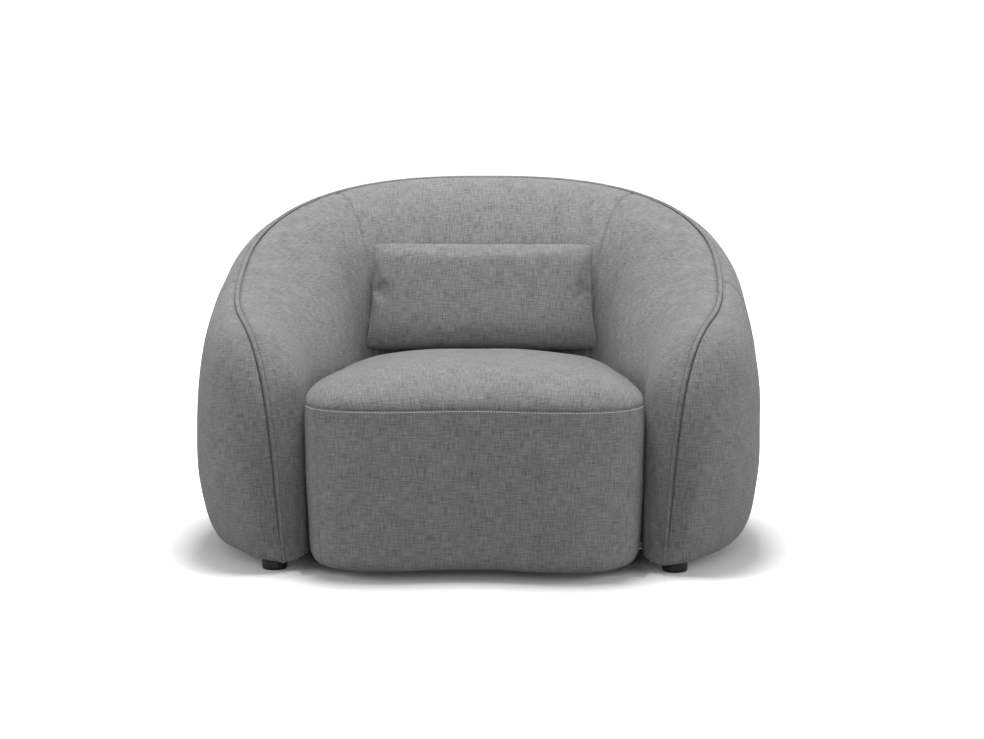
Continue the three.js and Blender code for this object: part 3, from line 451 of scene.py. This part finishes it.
def shell_panel(name, face_of, station, widths, blends, depth, seed, mirrored=False, flip=1):
    """One panel of the shell. `face_of` gives the face and its share across for a column of
    stations. A panel that starts past the arm's end is mirrored into one panel across the back.
    It is sunk beside its seams and the piping, uneven as stuffed cloth is, and an arm's inside panel
    has a short dart at the bend of its piping."""
    station = station[:, None]
    face, share = face_of(station)
    threads = cloth_coordinates(face, station, share, along(widths, station / half_length, *blends))
    whole = station[0, 0] > 0
    if whole:
        face = np.concatenate([face, face[-2::-1] * (-1, 1, 1)])
        twice = np.stack([2 * threads[-1:, :, 0], 0 * threads[-1:, :, 1]], -1)
        threads = np.concatenate([threads, threads[-2::-1] * (-1, 1) + twice])
    down, run = travel(face, 1), travel(face, 0)
    beside = np.minimum(run, run[-1:] - run) if whole else run[-1:] - run
    spread = ease(down[:, -1:] / 0.25)
    relief = sewn(down, run, seed, 0.0056, 0.0050) * ease(down[:, -1:] / 0.02)
    relief += sewn(beside, down, seed + 1) * ease(down / 0.01)
    relief += 0.0010 * slack(run, down, 0.17, seed + 2) * ease(down / 0.06) * ease(beside / 0.06) * spread
    if not whole and flip > 0:
        row = int(np.argmin(np.abs(face[:, 0, 2] - dart_level)))
        across = face[row, 20] - face[row, 0]
        relief += dart(face, face[row, 0], across / np.linalg.norm(across))
    edge = np.minimum(down, down[:, -1:] - down)
    thickness = 0.0026 + depth * ease(edge / 0.10) * ease(beside / 0.05) * spread
    face = face + facing(face, flip=flip) * relief[..., None]
    return pad(name, face, threads, thickness, mirrored=mirrored, flip=flip)


def inside(station):
    """The inside face of the shell at a column of stations, and its share across."""
    return inner_face(station, inner_rolls, inner_falls), np.cos(inner_rolls) ** (2 / 2.1)


def show(piece, material, body, slot, *replaced):
    """Gives a finished piece its cloth, the body it moves with and the nodes it stands for."""
    piece.data.materials.append(material)
    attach(piece, body)
    if replaced:
        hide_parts(*replaced)
    return piece


row_step = 0.0045
for side, mirrored, seed in (("right", False, 11), ("left", True, 21)):
    arm = shell_panel(f"arm_inside_{side}", inside, row_stations(0, inner_seam, row_step),
                      inward_widths, (0.55, 0.6), 0.030, seed, mirrored)
    show(arm, cover_cloth, "chair", "grey_fabric", f"inner_cover_{side}", f"inner_foam_{side}")
back = shell_panel("back_inside", inside, row_stations(inner_seam, half_length, row_step),
                   inward_widths, (0.55, 0.6), 0.030, 31)
show(back, cover_cloth, "chair", "grey_fabric", "inner_cover_back", "inner_foam_back")

# ---------------------------------------------------------------- outside of the shell
# A layer of wadding on the outer hardboard under the same cloth, in a short panel on each arm and
# one long panel round the back, tucked in under the shell and stapled to its base plate.
outer_shoulder, undercut = 0.225, 0.070


def outside(station):
    """Outside face: from the crest over a superelliptic roll to the fullest part of the side, then
    round and in under the shell to a rounded lower edge."""
    place, way, top, width, narrow, low = section(station, outward_widths, 0.5, 0.5)
    over, beneath = outer_rolls, outer_tucks
    share = np.cos(over) ** (2 / 2.3) - undercut / width * (1 - np.cos(beneath) ** (2 / 2.2))
    z = outer_shoulder + (top - outer_shoulder) * np.sin(over) ** (2 / 2.3)
    z = z - (outer_shoulder - underside) * np.sin(beneath) ** (2 / 2.2)
    z = underside + (z - underside) * low
    reach = width * narrow
    offset = piping_half + reach * share - lean_of(station, z, top)
    offset = offset - np.minimum(tucked(z), 0.7 * reach * share)
    return stand(place, way, offset, z), share


over_start = np.arccos((crest_gaps / 0.080) ** (2.3 / 2))
over_turns = np.concatenate([over_start, np.linspace(over_start[-1], 0, 74)[1:]])
foot_turns = np.pi / 2 - np.array([0.13, 0.09, 0.055, 0.025, 0.0])
tuck_turns = np.concatenate([np.linspace(0, 1.40, 40)[1:], foot_turns])
outer_rolls = np.concatenate([over_turns, np.zeros(len(tuck_turns))])[None, :]
outer_tucks = np.concatenate([np.zeros(len(over_turns)), tuck_turns])[None, :]

for side, mirrored, seed in (("right", False, 41), ("left", True, 51)):
    arm = shell_panel(f"arm_outside_{side}", outside, row_stations(0, outer_seam, row_step),
                      outward_widths, (0.5, 0.5), 0.008, seed, mirrored, flip=-1)
    show(arm, cover_cloth, "chair", "grey_fabric", f"outer_cover_{side}")
back = shell_panel("back_outside", outside, row_stations(outer_seam, half_length, row_step),
                   outward_widths, (0.5, 0.5), 0.008, 61, flip=-1)
show(back, cover_cloth, "chair", "grey_fabric", "outer_cover_back", "outer_wadding")

# ---------------------------------------------------------------- piping
# A cotton cord in a bias strip of the cover cloth, sewn between the inside and outside panels from
# the foot of one arm, over the crest and down to the foot of the other.
piping_radius = 0.0041


def tube(name, path, across, radius, rounds=14):
    """A closed tube: a circle carried along a path, drawn in to a rounded end at both ends. One
    side direction is given for each point of the path."""
    tangent = np.gradient(path, axis=0)
    tangent /= np.linalg.norm(tangent, axis=1, keepdims=True)
    across = across - (across * tangent).sum(1, keepdims=True) * tangent
    across /= np.linalg.norm(across, axis=1, keepdims=True)
    up = np.cross(tangent, across)
    run = travel(path, 0)
    ends = np.minimum(run, run[-1] - run)
    size = radius * np.sqrt(1 - (1 - np.clip(ends / radius, 0, 1)) ** 2)
    angle = np.linspace(0, 2 * np.pi, rounds + 1)
    ring = across[:, None] * np.cos(angle)[None, :, None] + up[:, None] * np.sin(angle)[None, :, None]
    points = path[:, None] + ring * size[:, None, None]
    threads = np.stack(np.broadcast_arrays(run[:, None] * 0.707 + angle * radius * 0.707,
                                           run[:, None] * 0.707 - angle * radius * 0.707), -1)
    return points, threads


def skin(name, points, threads):
    """A mesh of one closed grid whose last column is its first column again, with pinched ends."""
    rows, columns = points.shape[:2]
    index = np.arange(rows * columns).reshape(rows, columns)
    faces = np.stack([index[:-1, :-1], index[1:, :-1], index[1:, 1:], index[:-1, 1:]], -1).reshape(-1, 4)
    return woven_mesh(name, points.reshape(-1, 3), faces, threads.reshape(-1, 2))


half_rows = row_stations(0, half_length, 0.005)
place, way, top, _, _, low = section(half_rows, inward_widths, 0.55, 0.6)
level = underside + (top - underside) * low
centre = stand(place, way, -lean_of(half_rows, level, top), level - 0.0006)
centre[:, 2] = np.maximum(centre[:, 2], underside + 0.0005)
side_way = np.concatenate([way, 0 * way[:, :1]], 1)
line = np.concatenate([centre, centre[-2::-1] * (-1, 1, 1)])
side_way = np.concatenate([side_way, side_way[-2::-1] * (-1, 1, 1)])
points, threads = tube("piping", line, side_way, piping_radius)
piping = skin("crest_piping", points, threads)
show(piping, cover_cloth, "chair", "grey_fabric", "welt_cord")

# ---------------------------------------------------------------- seat
# A foam block on the springs, its top crowned, in a sewn cover of a top panel and a boxing band,
# with one row of topstitching under the seam across the front. The front edge is a little hollow, and
# the front corners stand out towards the arms at the top.
seat_front, seat_rear, seat_half_width = -0.480, 0.172, 0.313
seat_top, seat_seam, seat_foot = 0.388, 0.316, 0.0195
corner_flare = 0.010
band_dip, band_dip_reach = 0.0010, 0.0026
seat_middle, seat_half_depth = (seat_front + seat_rear) / 2, (seat_rear - seat_front) / 2


def seat_plan(angle):
    """The seat's outline about its middle: a blunt superellipse, tapered to the back, hollowed
    along the front and held clear of the shell's inside wall."""
    across, deep = bow(np.cos(angle), 2 / 4.6), bow(np.sin(angle), 2 / 4.6)
    x = seat_half_width * across * (1 - 0.14 * ease(((deep + 1) / 2 - 0.25) / 0.75))
    hollow = 0.030 * np.cos(np.clip(np.abs(x) / 0.200, 0, 1) * np.pi / 2) ** 2 * np.clip(-deep, 0, 1)
    y = seat_half_depth * deep + hollow
    distance = np.hypot(x, y)
    reach = np.interp(np.arctan2(y, np.abs(x)), wall_angle, wall_reach, left=9.0) - 0.009
    keep = np.minimum(1, reach / distance)
    return np.stack([x * keep, y * keep], -1)


wall_rows = np.linspace(0.002, half_length, 900)[:, None]
wall = inner_face(wall_rows, np.zeros((1, 1)), np.full((1, 1), 0.9))[:, 0] - (0, seat_middle + depth_shift, 0)
wall_angle, wall_reach = np.arctan2(wall[:, 1], wall[:, 0]), np.hypot(wall[:, 0], wall[:, 1])
rising = np.maximum.accumulate(wall_angle)
keep = np.concatenate([[True], np.diff(rising) > 1e-9])
wall_angle, wall_reach = wall_angle[keep], wall_reach[keep]

dense = seat_plan(np.pi / 2 - np.linspace(0, 2 * np.pi, 9001))
run = np.concatenate([[0], np.cumsum(np.linalg.norm(np.diff(dense, axis=0), axis=1))])
seat_girth = run[-1]


def seat_edge(at):
    """Points of the outline at distances round it, smoothed, and the outward ways there."""
    spots = [np.stack([np.interp((at + d) % seat_girth, run, dense[:, k]) for k in (0, 1)], -1)
             for d in np.linspace(-0.012, 0.012, 7)]
    spot = np.mean(spots, 0)
    ahead = np.stack([np.interp((at + 0.004) % seat_girth, run, dense[:, k]) for k in (0, 1)], -1)
    behind = np.stack([np.interp((at - 0.004) % seat_girth, run, dense[:, k]) for k in (0, 1)], -1)
    along_edge = ahead - behind
    along_edge /= np.linalg.norm(along_edge, axis=-1, keepdims=True)
    return spot, np.stack([-along_edge[..., 1], along_edge[..., 0]], -1)


corner_runs = [run[np.argmin(np.hypot(dense[:, 0] - s * 0.300, dense[:, 1] + 0.285))] for s in (1, -1)]
round_rows = even_steps(0, seat_girth, 0.0045, corner_runs, seam_offsets)
edge, edge_way = seat_edge(round_rows)
middle = np.array([0, seat_middle + depth_shift])


def swell(z):
    """How far the boxing stands out at a height: fullest a little below its middle, drawn in at the
    seam and rounded in under the seat."""
    body = 0.0045 * np.sin(np.pi * np.clip((z - 0.020) / (seat_seam - 0.020), 0, 1) ** 0.75) - 0.001
    foot_round = np.clip(1 - (z - seat_foot) / 0.026, 0, 1)
    return body - 0.017 * (1 - np.sqrt(np.clip(1 - foot_round ** 2, 0, 1)))


def flared(spot, way):
    """How far the outline stands out at the seam: most where it faces an arm, near the front."""
    return corner_flare * np.abs(way[:, :1]) * ease((-0.02 - spot[:, 1:]) / 0.20)


seam_drops = np.concatenate([[0], seam_offsets])
heights = np.concatenate([seat_seam - seam_drops, np.linspace(seat_seam - 0.016, 0.056, 56),
                          seat_foot + 0.028 * (1 - np.sin(np.linspace(0, np.pi / 2, 12)))])
flare = flared(edge, edge_way)
rise = ease((heights - 0.06) / (seat_seam - 0.06))
spot = edge[:, None] + edge_way[:, None] * (swell(heights)[None, :] + flare * rise)[..., None]
band = np.concatenate([spot + middle, np.broadcast_to(heights[None, :, None], (*spot.shape[:2], 1))], -1)
down = travel(band, 1)
beside = np.min([np.abs(round_rows - c) for c in corner_runs], 0)[:, None]
around = np.broadcast_to(round_rows[:, None], down.shape)
relief = sewn(down, around, 71, band_dip, band_dip_reach) + sewn(beside + 0 * down, down, 72, 0.0022, 0.0028)
spin, ring_radius = 2 * np.pi * around / seat_girth, seat_girth / 6.28
unevenness = slack(ring_radius * np.cos(spin) + down, ring_radius * np.sin(spin), 0.15, 73)
relief = relief + 0.0006 * unevenness * ease(down / 0.04)
relief[-1] = relief[0]
threads = np.stack([around, band[..., 2]], -1)
thickness = 0.0026 + 0.014 * ease(np.minimum(down, down[:, -1:] - down) / 0.06)
thickness[-1] = thickness[0]
boxing = pad("seat_boxing", band + facing(band, True) * relief[..., None], threads, thickness, ring=True)
show(boxing, cover_cloth, "chair", "grey_fabric", "seat_front_and_side_cover", "seat_wadding")

edge_scales = 1 - np.array([0.0, 0.0005, 0.0014, 0.003, 0.0055, 0.009, 0.0135, 0.019, 0.026])
scales = np.concatenate([edge_scales, np.linspace(0.965, 0, 66)])
rim_spot = edge + edge_way * (swell(np.array([seat_seam]))[0] + flare)
flat = rim_spot[:, None] * scales[None, :, None]
crown = seat_seam + (seat_top - seat_seam) * np.sqrt(1 - scales ** 3.5)
top_face = np.concatenate([flat + middle, np.broadcast_to(crown[None, :, None], (*flat.shape[:2], 1))], -1)
down = travel(top_face, 1)
around = np.broadcast_to(round_rows[:, None], down.shape)
relief = sewn(down, around, 81, 0.0012, 0.0026)
relief = relief + 0.0014 * slack(top_face[..., 0], top_face[..., 1], 0.20, 82) * ease(down / 0.06)
relief[-1] = relief[0]
way_out = facing(top_face, True, -1)
way_out[:, -1] = (0, 0, 1)
thickness = 0.0026 + 0.040 * ease(down / 0.09)
thickness[-1] = thickness[0]
stretch = (down[:, -1:] - down) / np.maximum(np.linalg.norm(flat, axis=-1), 1e-6)
top_pad = pad("seat_top_panel", top_face + way_out * relief[..., None], flat * stretch[..., None], thickness,
              ring=True, flip=-1)
show(top_pad, cover_cloth, "chair", "grey_fabric", "seat_top_cover", "seat_foam")

# ---------------------------------------------------------------- slot cloth
# A strip of black cloth, stapled up under the seat and the shell, that closes the slot between them along
# both sides and the rear of the seat, from near one arm's end to the other's. It is a dark sheet put there
# as painted shade: it darkens the slot and hides the lit parts below it.
strip_level, strip_thickness = 0.0232, 0.0006
slot_end = run[np.argmin(np.hypot(dense[:, 0] - 0.306, dense[:, 1] + 0.24))]
strip_at = np.linspace(-slot_end, slot_end, 241)
strip_spot, strip_way = seat_edge(strip_at)
strip_reach = np.linspace(-0.030, 0.022, 5)
strip = strip_spot[:, None] + strip_way[:, None] * strip_reach[None, :, None] + middle
strip = np.concatenate([strip, np.full((*strip.shape[:2], 1), strip_level)], -1)
threads = np.stack(np.broadcast_arrays(strip_at[:, None], strip_reach), -1)
shade_strip = pad("shade_strip", strip, threads, np.full(strip.shape[:2], strip_thickness))
show(shade_strip, dust_cloth, "chair", "dust_cloth")

# ---------------------------------------------------------------- topstitching
# Pale polyester thread: one row of short stitches just under the seat's seam, across the front
# and round both front corners. The thread's pale grey, far lighter than the cloth, is also painted
# highlight: it stands in for the light caught along the seam's edge.
stitch_length, stitch_pitch, stitch_radius = 0.0050, 0.0058, 0.00060
stitch_drop = 0.0030
first_stitch = run[np.argmin(np.hypot(dense[:, 0] - 0.306, dense[:, 1] + 0.20))]
last_stitch = run[np.argmin(np.hypot(dense[:, 0] + 0.306, dense[:, 1] + 0.20))]
stitch_count = int((last_stitch - first_stitch) / stitch_pitch)
stitch_at = first_stitch + stitch_pitch * np.arange(stitch_count)


def stitch_row(name, middles, ways, outs):
    """Short capsules of thread: at each middle, one bent along its way and sunk at both ends."""
    share = np.linspace(-1, 1, 7)
    angle = np.linspace(0, 2 * np.pi, 7)
    third = np.cross(ways, outs)
    size = stitch_radius * np.sqrt(np.clip(1 - share ** 6, 0, 1))
    rise = stitch_radius * (0.9 - 2.0 * share ** 4)
    ring = (third[:, None, None] * np.cos(angle)[None, None, :, None]
            + outs[:, None, None] * np.sin(angle)[None, None, :, None]) * size[None, :, None, None]
    points = (middles[:, None, None] + ways[:, None, None] * (share * stitch_length / 2)[None, :, None, None]
              + outs[:, None, None] * rise[None, :, None, None] + ring)
    count, rows, columns = points.shape[:3]
    index = np.arange(count * rows * columns).reshape(count, rows, columns)
    faces = np.stack([index[:, :-1, :-1], index[:, 1:, :-1], index[:, 1:, 1:], index[:, :-1, 1:]], -1)
    length_way = share[None, :, None] * 0.002 + middles[:, :1, None]
    twist = np.stack(np.broadcast_arrays(length_way, 0.0002 * angle), -1)
    return woven_mesh(name, points.reshape(-1, 3), faces.reshape(-1, 4), twist.reshape(-1, 2))


stitch_spot, stitch_out = seat_edge(stitch_at)
level = seat_seam - stitch_drop
sunk = swell(np.array([level]))[0] - band_dip * np.exp(-(stitch_drop / band_dip_reach) ** 2)
stitch_spot = stitch_spot + stitch_out * (sunk + flared(stitch_spot, stitch_out)) + middle
stitch_middle = np.concatenate([stitch_spot, np.full((stitch_count, 1), level)], 1)
outs = np.concatenate([stitch_out, np.zeros((stitch_count, 1))], 1)
ways = np.stack([-outs[:, 1], outs[:, 0], outs[:, 2]], 1)
thread, tree, shader = finish("pale_thread_painted_highlight")
strand = put(tree, "UVMap", uv_map="threads").outputs[0]
ply = fleck(tree, strand, (0.0006, 0.0003, 1.0), 2.0)
# Pale grey thread: the thread's own colour and painted highlight along the seam's edge.
tree.links.new(between(tree, ply, (0.42, 0.42, 0.40), (0.72, 0.72, 0.69)), shader.inputs["Base Color"])
roughen(tree, shader, ply, 0.45, 0.7, ply, 0.0001)
stitches = stitch_row("seat_topstitching", stitch_middle, ways, outs)
show(stitches, thread, "chair", "grey_fabric")

# ---------------------------------------------------------------- lumbar pillow
# A loose fibre-filled pillow of two panels sewn edge to edge, full to its sides in front, with soft
# corners, leaning on the back. A zip lies in a shallow placket low on its back panel.
pillow_half = np.array([0.243, 0.052, 0.112])
panel_half_width, panel_half_height, front_fullness = 0.241, 0.117, 0.048
furthest_settled = 0.009
pillow_lean = np.radians(15.5)
zip_level, zip_half_length = -0.084, 0.090
ends = [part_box(n) for n in ("pillow_cover_front", "pillow_cover_back")]
pillow_middle = (np.min([e[0] for e in ends], 0) + np.max([e[1] for e in ends], 0)) / 2

cloth_u = np.linspace(-1, 1, 103)
zip_gaps = np.array([0.0, 0.0012, 0.0022, 0.0030, 0.0040, 0.0056])
cloth_v = even_steps(-pillow_half[2], pillow_half[2], 0.0048, [zip_level], zip_gaps) / pillow_half[2]


def bulge(u, v):
    """The filled pillow's thickness, 1 in the middle and 0 at its edge."""
    side = np.clip((np.abs(u) - 0.4) / 0.6, 0, 1)
    return (1 - side ** 2) ** 0.7 * np.sqrt(1 - v ** 4)


def near_zip(u, v, spread):
    """1 along the zip, fading to 0 at a distance from it."""
    past_end = np.clip(np.abs(u * pillow_half[0]) - zip_half_length - 0.004, 0, None)
    away = np.hypot(past_end, v * pillow_half[2] - zip_level)
    return 1 - ease(away / spread)


u, v = np.meshgrid(cloth_u, cloth_v, indexing="ij")
panel_x = u * panel_half_width * (1 - 0.006 * (1 - v ** 2)) * (1 - 0.014 * v)
panel_z = v * panel_half_height * (1 - 0.008 * (1 - u ** 2)) - 0.010 * np.clip(-v, 0, 1) ** 2
corner = np.abs(u * v) ** 10
panel_x, panel_z = panel_x * (1 - 0.022 * corner), panel_z * (1 - 0.055 * corner)
full = pillow_half[1] * bulge(u, v)
zip_zone = near_zip(u, v, 0.030)
front_y = -front_fullness * np.sqrt(np.clip(1 - np.abs(u) ** 7, 0, 1) * np.clip(1 - np.abs(v) ** 5, 0, 1))
back_y = full * (0.95 + 0.05 * zip_zone)
sheet_front = np.stack([panel_x, front_y, panel_z], -1)
sheet_back = np.stack([panel_x, back_y, panel_z], -1)


def inflated(points, faces, held, frames=20, pressure=4.0):
    """Where cloth goes when it is sewn into this shape and filled: a short simulation."""
    mesh = bpy.data.meshes.new("filling")
    mesh.from_pydata(points.tolist(), [], faces.tolist())
    loose = bpy.data.objects.new("filling", mesh)
    bpy.context.scene.collection.objects.link(loose)
    group = loose.vertex_groups.new(name="held")
    for share in np.unique(held[held > 0]):
        group.add(np.flatnonzero(held == share).tolist(), float(share), "REPLACE")
    cloth = loose.modifiers.new("cloth", "CLOTH")
    cloth.settings.quality = 6
    cloth.settings.mass = 0.25
    cloth.settings.tension_stiffness = 12
    cloth.settings.compression_stiffness = 12
    cloth.settings.shear_stiffness = 4
    cloth.settings.bending_stiffness = 0.15
    cloth.settings.effector_weights.gravity = 0
    cloth.settings.use_pressure = True
    cloth.settings.uniform_pressure_force = pressure
    cloth.settings.vertex_group_mass = "held"
    cloth.point_cache.frame_start, cloth.point_cache.frame_end = 1, frames
    for count in range(1, frames + 1):
        bpy.context.scene.frame_set(count)
    ready = loose.evaluated_get(bpy.context.evaluated_depsgraph_get())
    moved = np.empty(len(points) * 3, np.float32)
    ready.data.vertices.foreach_get("co", moved)
    bpy.data.objects.remove(loose)
    bpy.context.scene.frame_set(1)
    return moved.reshape(-1, 3).astype(float)


rows, columns = u.shape
index = np.arange(u.size).reshape(rows, columns)
border = (np.abs(u) == 1) | (np.abs(v) == 1)
back_index = np.where(border, index, index + u.size)
quads = np.stack([index[:-1, :-1], index[1:, :-1], index[1:, 1:], index[:-1, 1:]], -1).reshape(-1, 4)
back_quads = np.stack([back_index[:-1, :-1], back_index[:-1, 1:],
                       back_index[1:, 1:], back_index[1:, :-1]], -1)
pillow_faces = np.concatenate([quads, back_quads.reshape(-1, 4)])
pillow_points = np.concatenate([sheet_front.reshape(-1, 3), sheet_back.reshape(-1, 3)])
used = np.unique(pillow_faces)
packed = np.zeros(len(pillow_points), int)
packed[used] = np.arange(len(used))
start = pillow_points[used]
settled = start
held = np.concatenate([0 * u.ravel(), near_zip(u, v, 0.016).ravel()])[used].round(2)
moved = inflated(start, packed[pillow_faces], held) - start
size = np.linalg.norm(moved, axis=1, keepdims=True)
settled = start + moved * np.minimum(1, furthest_settled / np.maximum(size, 1e-9))
limit = np.concatenate([np.abs(front_y).ravel() + 0.004, full.ravel()])[used]
settled[:, 1] = np.clip(settled[:, 1], -limit, limit + 0.001)
placket = np.concatenate([0 * u.ravel(), (near_zip(u, v, 0.0042) ** 0.5).ravel()])[used]
settled[:, 1] -= 0.0024 * placket
cos, sin = np.cos(pillow_lean), np.sin(pillow_lean)
placed = np.stack([settled[:, 0], settled[:, 1] * cos + settled[:, 2] * sin,
                   settled[:, 2] * cos - settled[:, 1] * sin], 1) + pillow_middle
threads = np.concatenate([np.stack([panel_x, panel_z], -1).reshape(-1, 2)] * 2)[used]
pillow = woven_mesh("lumbar_pillow", placed, packed[pillow_faces], threads)
smooth = pillow.modifiers.new("subdivision", "SUBSURF")
smooth.levels = smooth.render_levels = 1
pillow_cloth = linen("pillow_linen_cloth", (0.046, 0.046, 0.045), (0.278, 0.281, 0.270), 1.0)
show(pillow, pillow_cloth, "pillow", "pillow_fabric",
     "pillow_cover_front", "pillow_cover_back", "pillow_filling")

# ---------------------------------------------------------------- zip
# A closed nylon coil zip, its teeth moulded every 1.5 mm, with a cast metal slider and a flat
# pull that hangs on the slider's lug.
coil, tree, shader = finish("nylon_zip_coil")
chain = put(tree, "TexCoord").outputs["Object"]
lengthwise = put(tree, "SeparateXYZ", {0: chain}).outputs["X"]
teeth = reckon(tree, "SINE", reckon(tree, "MULTIPLY", lengthwise, 4189.0))
tooth_share = reckon(tree, "MULTIPLY_ADD", teeth, 0.5, 0.5)
wear = fleck(tree, chain, (0.002, 0.002, 0.002), 4.0)
mixed = reckon(tree, "MULTIPLY", tooth_share, wear)
tree.links.new(between(tree, mixed, (0.012, 0.012, 0.013), (0.11, 0.11, 0.11)), shader.inputs["Base Color"])
roughen(tree, shader, wear, 0.3, 0.55, tooth_share, 0.0005)
dress(coil, ["zip_chain"])
cast, tree, shader = finish("cast_zip_metal")
plated = put(tree, "TexCoord").outputs["Object"]
haze = fleck(tree, plated, (0.0015, 0.0015, 0.0015), 5.0)
tree.links.new(between(tree, haze, (0.30, 0.30, 0.31), (0.52, 0.52, 0.53)), shader.inputs["Base Color"])
shader.inputs["Metallic"].default_value = 1.0
roughen(tree, shader, haze, 0.25, 0.45, haze, 0.0001)
dress(cast, ["zip_slider", "zip_pull"])

# ---------------------------------------------------------------- room
# A pale seamless studio floor that sweeps up all round into a wall, a soft light overhead and weaker
# ones from the front, the back and both sides. Floor and wall glow white with painted light: none within
# about half a metre of the chair's middle, full from a metre out, so the chair's shadow shows only close
# under it.
bowl_angle, bowl_run = np.meshgrid(np.linspace(0, 2 * np.pi, 97), np.linspace(0, 1, 60), indexing="ij")
sweep = np.clip((bowl_run - 0.6) / 0.25, 0, 1) * np.pi / 2
radius = 7.0 * np.minimum(bowl_run / 0.6, 1) + 2.5 * np.sin(sweep)
rise = 2.5 * (1 - np.cos(sweep)) + 6.0 * np.clip((bowl_run - 0.85) / 0.15, 0, 1)
bowl = np.stack([radius * np.cos(bowl_angle), radius * np.sin(bowl_angle), rise], -1)
rows, columns = bowl_angle.shape
index = np.arange(rows * columns).reshape(rows, columns)
faces = np.stack([index[:-1, :-1], index[1:, :-1], index[1:, 1:], index[:-1, 1:]], -1).reshape(-1, 4)
floor = woven_mesh("studio_floor", bowl.reshape(-1, 3), faces, bowl[..., :2].reshape(-1, 2))
glowing_paper, tree, shader = finish("pale_paper_with_painted_glow")
ground = put(tree, "TexCoord").outputs["Object"]
tooth = fleck(tree, ground, (0.02, 0.02, 0.02), 4.0)
tree.links.new(between(tree, tooth, (0.87, 0.87, 0.87), (0.90, 0.90, 0.90)), shader.inputs["Base Color"])
shader.inputs["Roughness"].default_value = 0.9
# Painted light: the paper glows more the further it is from the chair's middle, so it turns white away from
# the chair.
away = put(tree, "VectorMath", {0: ground}, operation="LENGTH").outputs["Value"]
painted_light_share = put(tree, "MapRange", {"Value": away, "From Min": 0.48, "From Max": 1.0, "To Min": 0.0, "To Max": 1.0},
          interpolation_type="SMOOTHSTEP").outputs[0]
tree.links.new(painted_light_share, shader.inputs["Emission Strength"])
shader.inputs["Emission Color"].default_value = (1, 1, 1, 1)
floor.data.materials.append(glowing_paper)
floor.visible_diffuse = False


def softbox(name, place, aim, size, watts):
    """A square soft light at a place, turned to an aim."""
    light = bpy.data.lights.new(name, "AREA")
    light.shape, light.size, light.energy = "SQUARE", size, watts
    lamp = bpy.data.objects.new(name, light)
    lamp.location = place
    lamp.rotation_mode = "QUATERNION"
    lamp.rotation_quaternion = (Vector(aim) - Vector(place)).to_track_quat("-Z", "Y")
    bpy.context.scene.collection.objects.link(lamp)


softbox("overhead", (0.0, 0.0, 3.0), (0.0, -0.05, 0.3), 1.2, 98)
softbox("front_fill", (0.2, -3.8, 1.0), (0.0, 0.0, 0.35), 1.8, 60)
softbox("back_fill", (0.0, 3.8, 1.6), (0.0, 0.0, 0.35), 1.8, 24)
softbox("left_fill", (-3.2, -0.9, 1.0), (-0.4, 0.0, 0.3), 1.6, 42)
softbox("right_fill", (3.2, -0.9, 1.0), (0.4, 0.0, 0.3), 1.6, 46)
world = bpy.data.worlds.new("studio")
bpy.context.scene.world = world
world.use_nodes = True
world.node_tree.nodes["Background"].inputs["Color"].default_value = (1, 1, 1, 1)
world.node_tree.nodes["Background"].inputs["Strength"].default_value = 0.12
bpy.context.scene.view_settings.view_transform = "Standard"

camera = bpy.data.cameras.new("camera")
camera.lens, camera.sensor_width = 70.4, 36.0
camera.shift_x = 0.0122
viewer = bpy.data.objects.new("camera", camera)
viewer.location = (0.1291, -3.8908, 0.737)
viewer.rotation_euler = (np.radians(90 - 5.764), 0, np.radians(1.9))
bpy.context.scene.collection.objects.link(viewer)
bpy.context.scene.camera = viewer
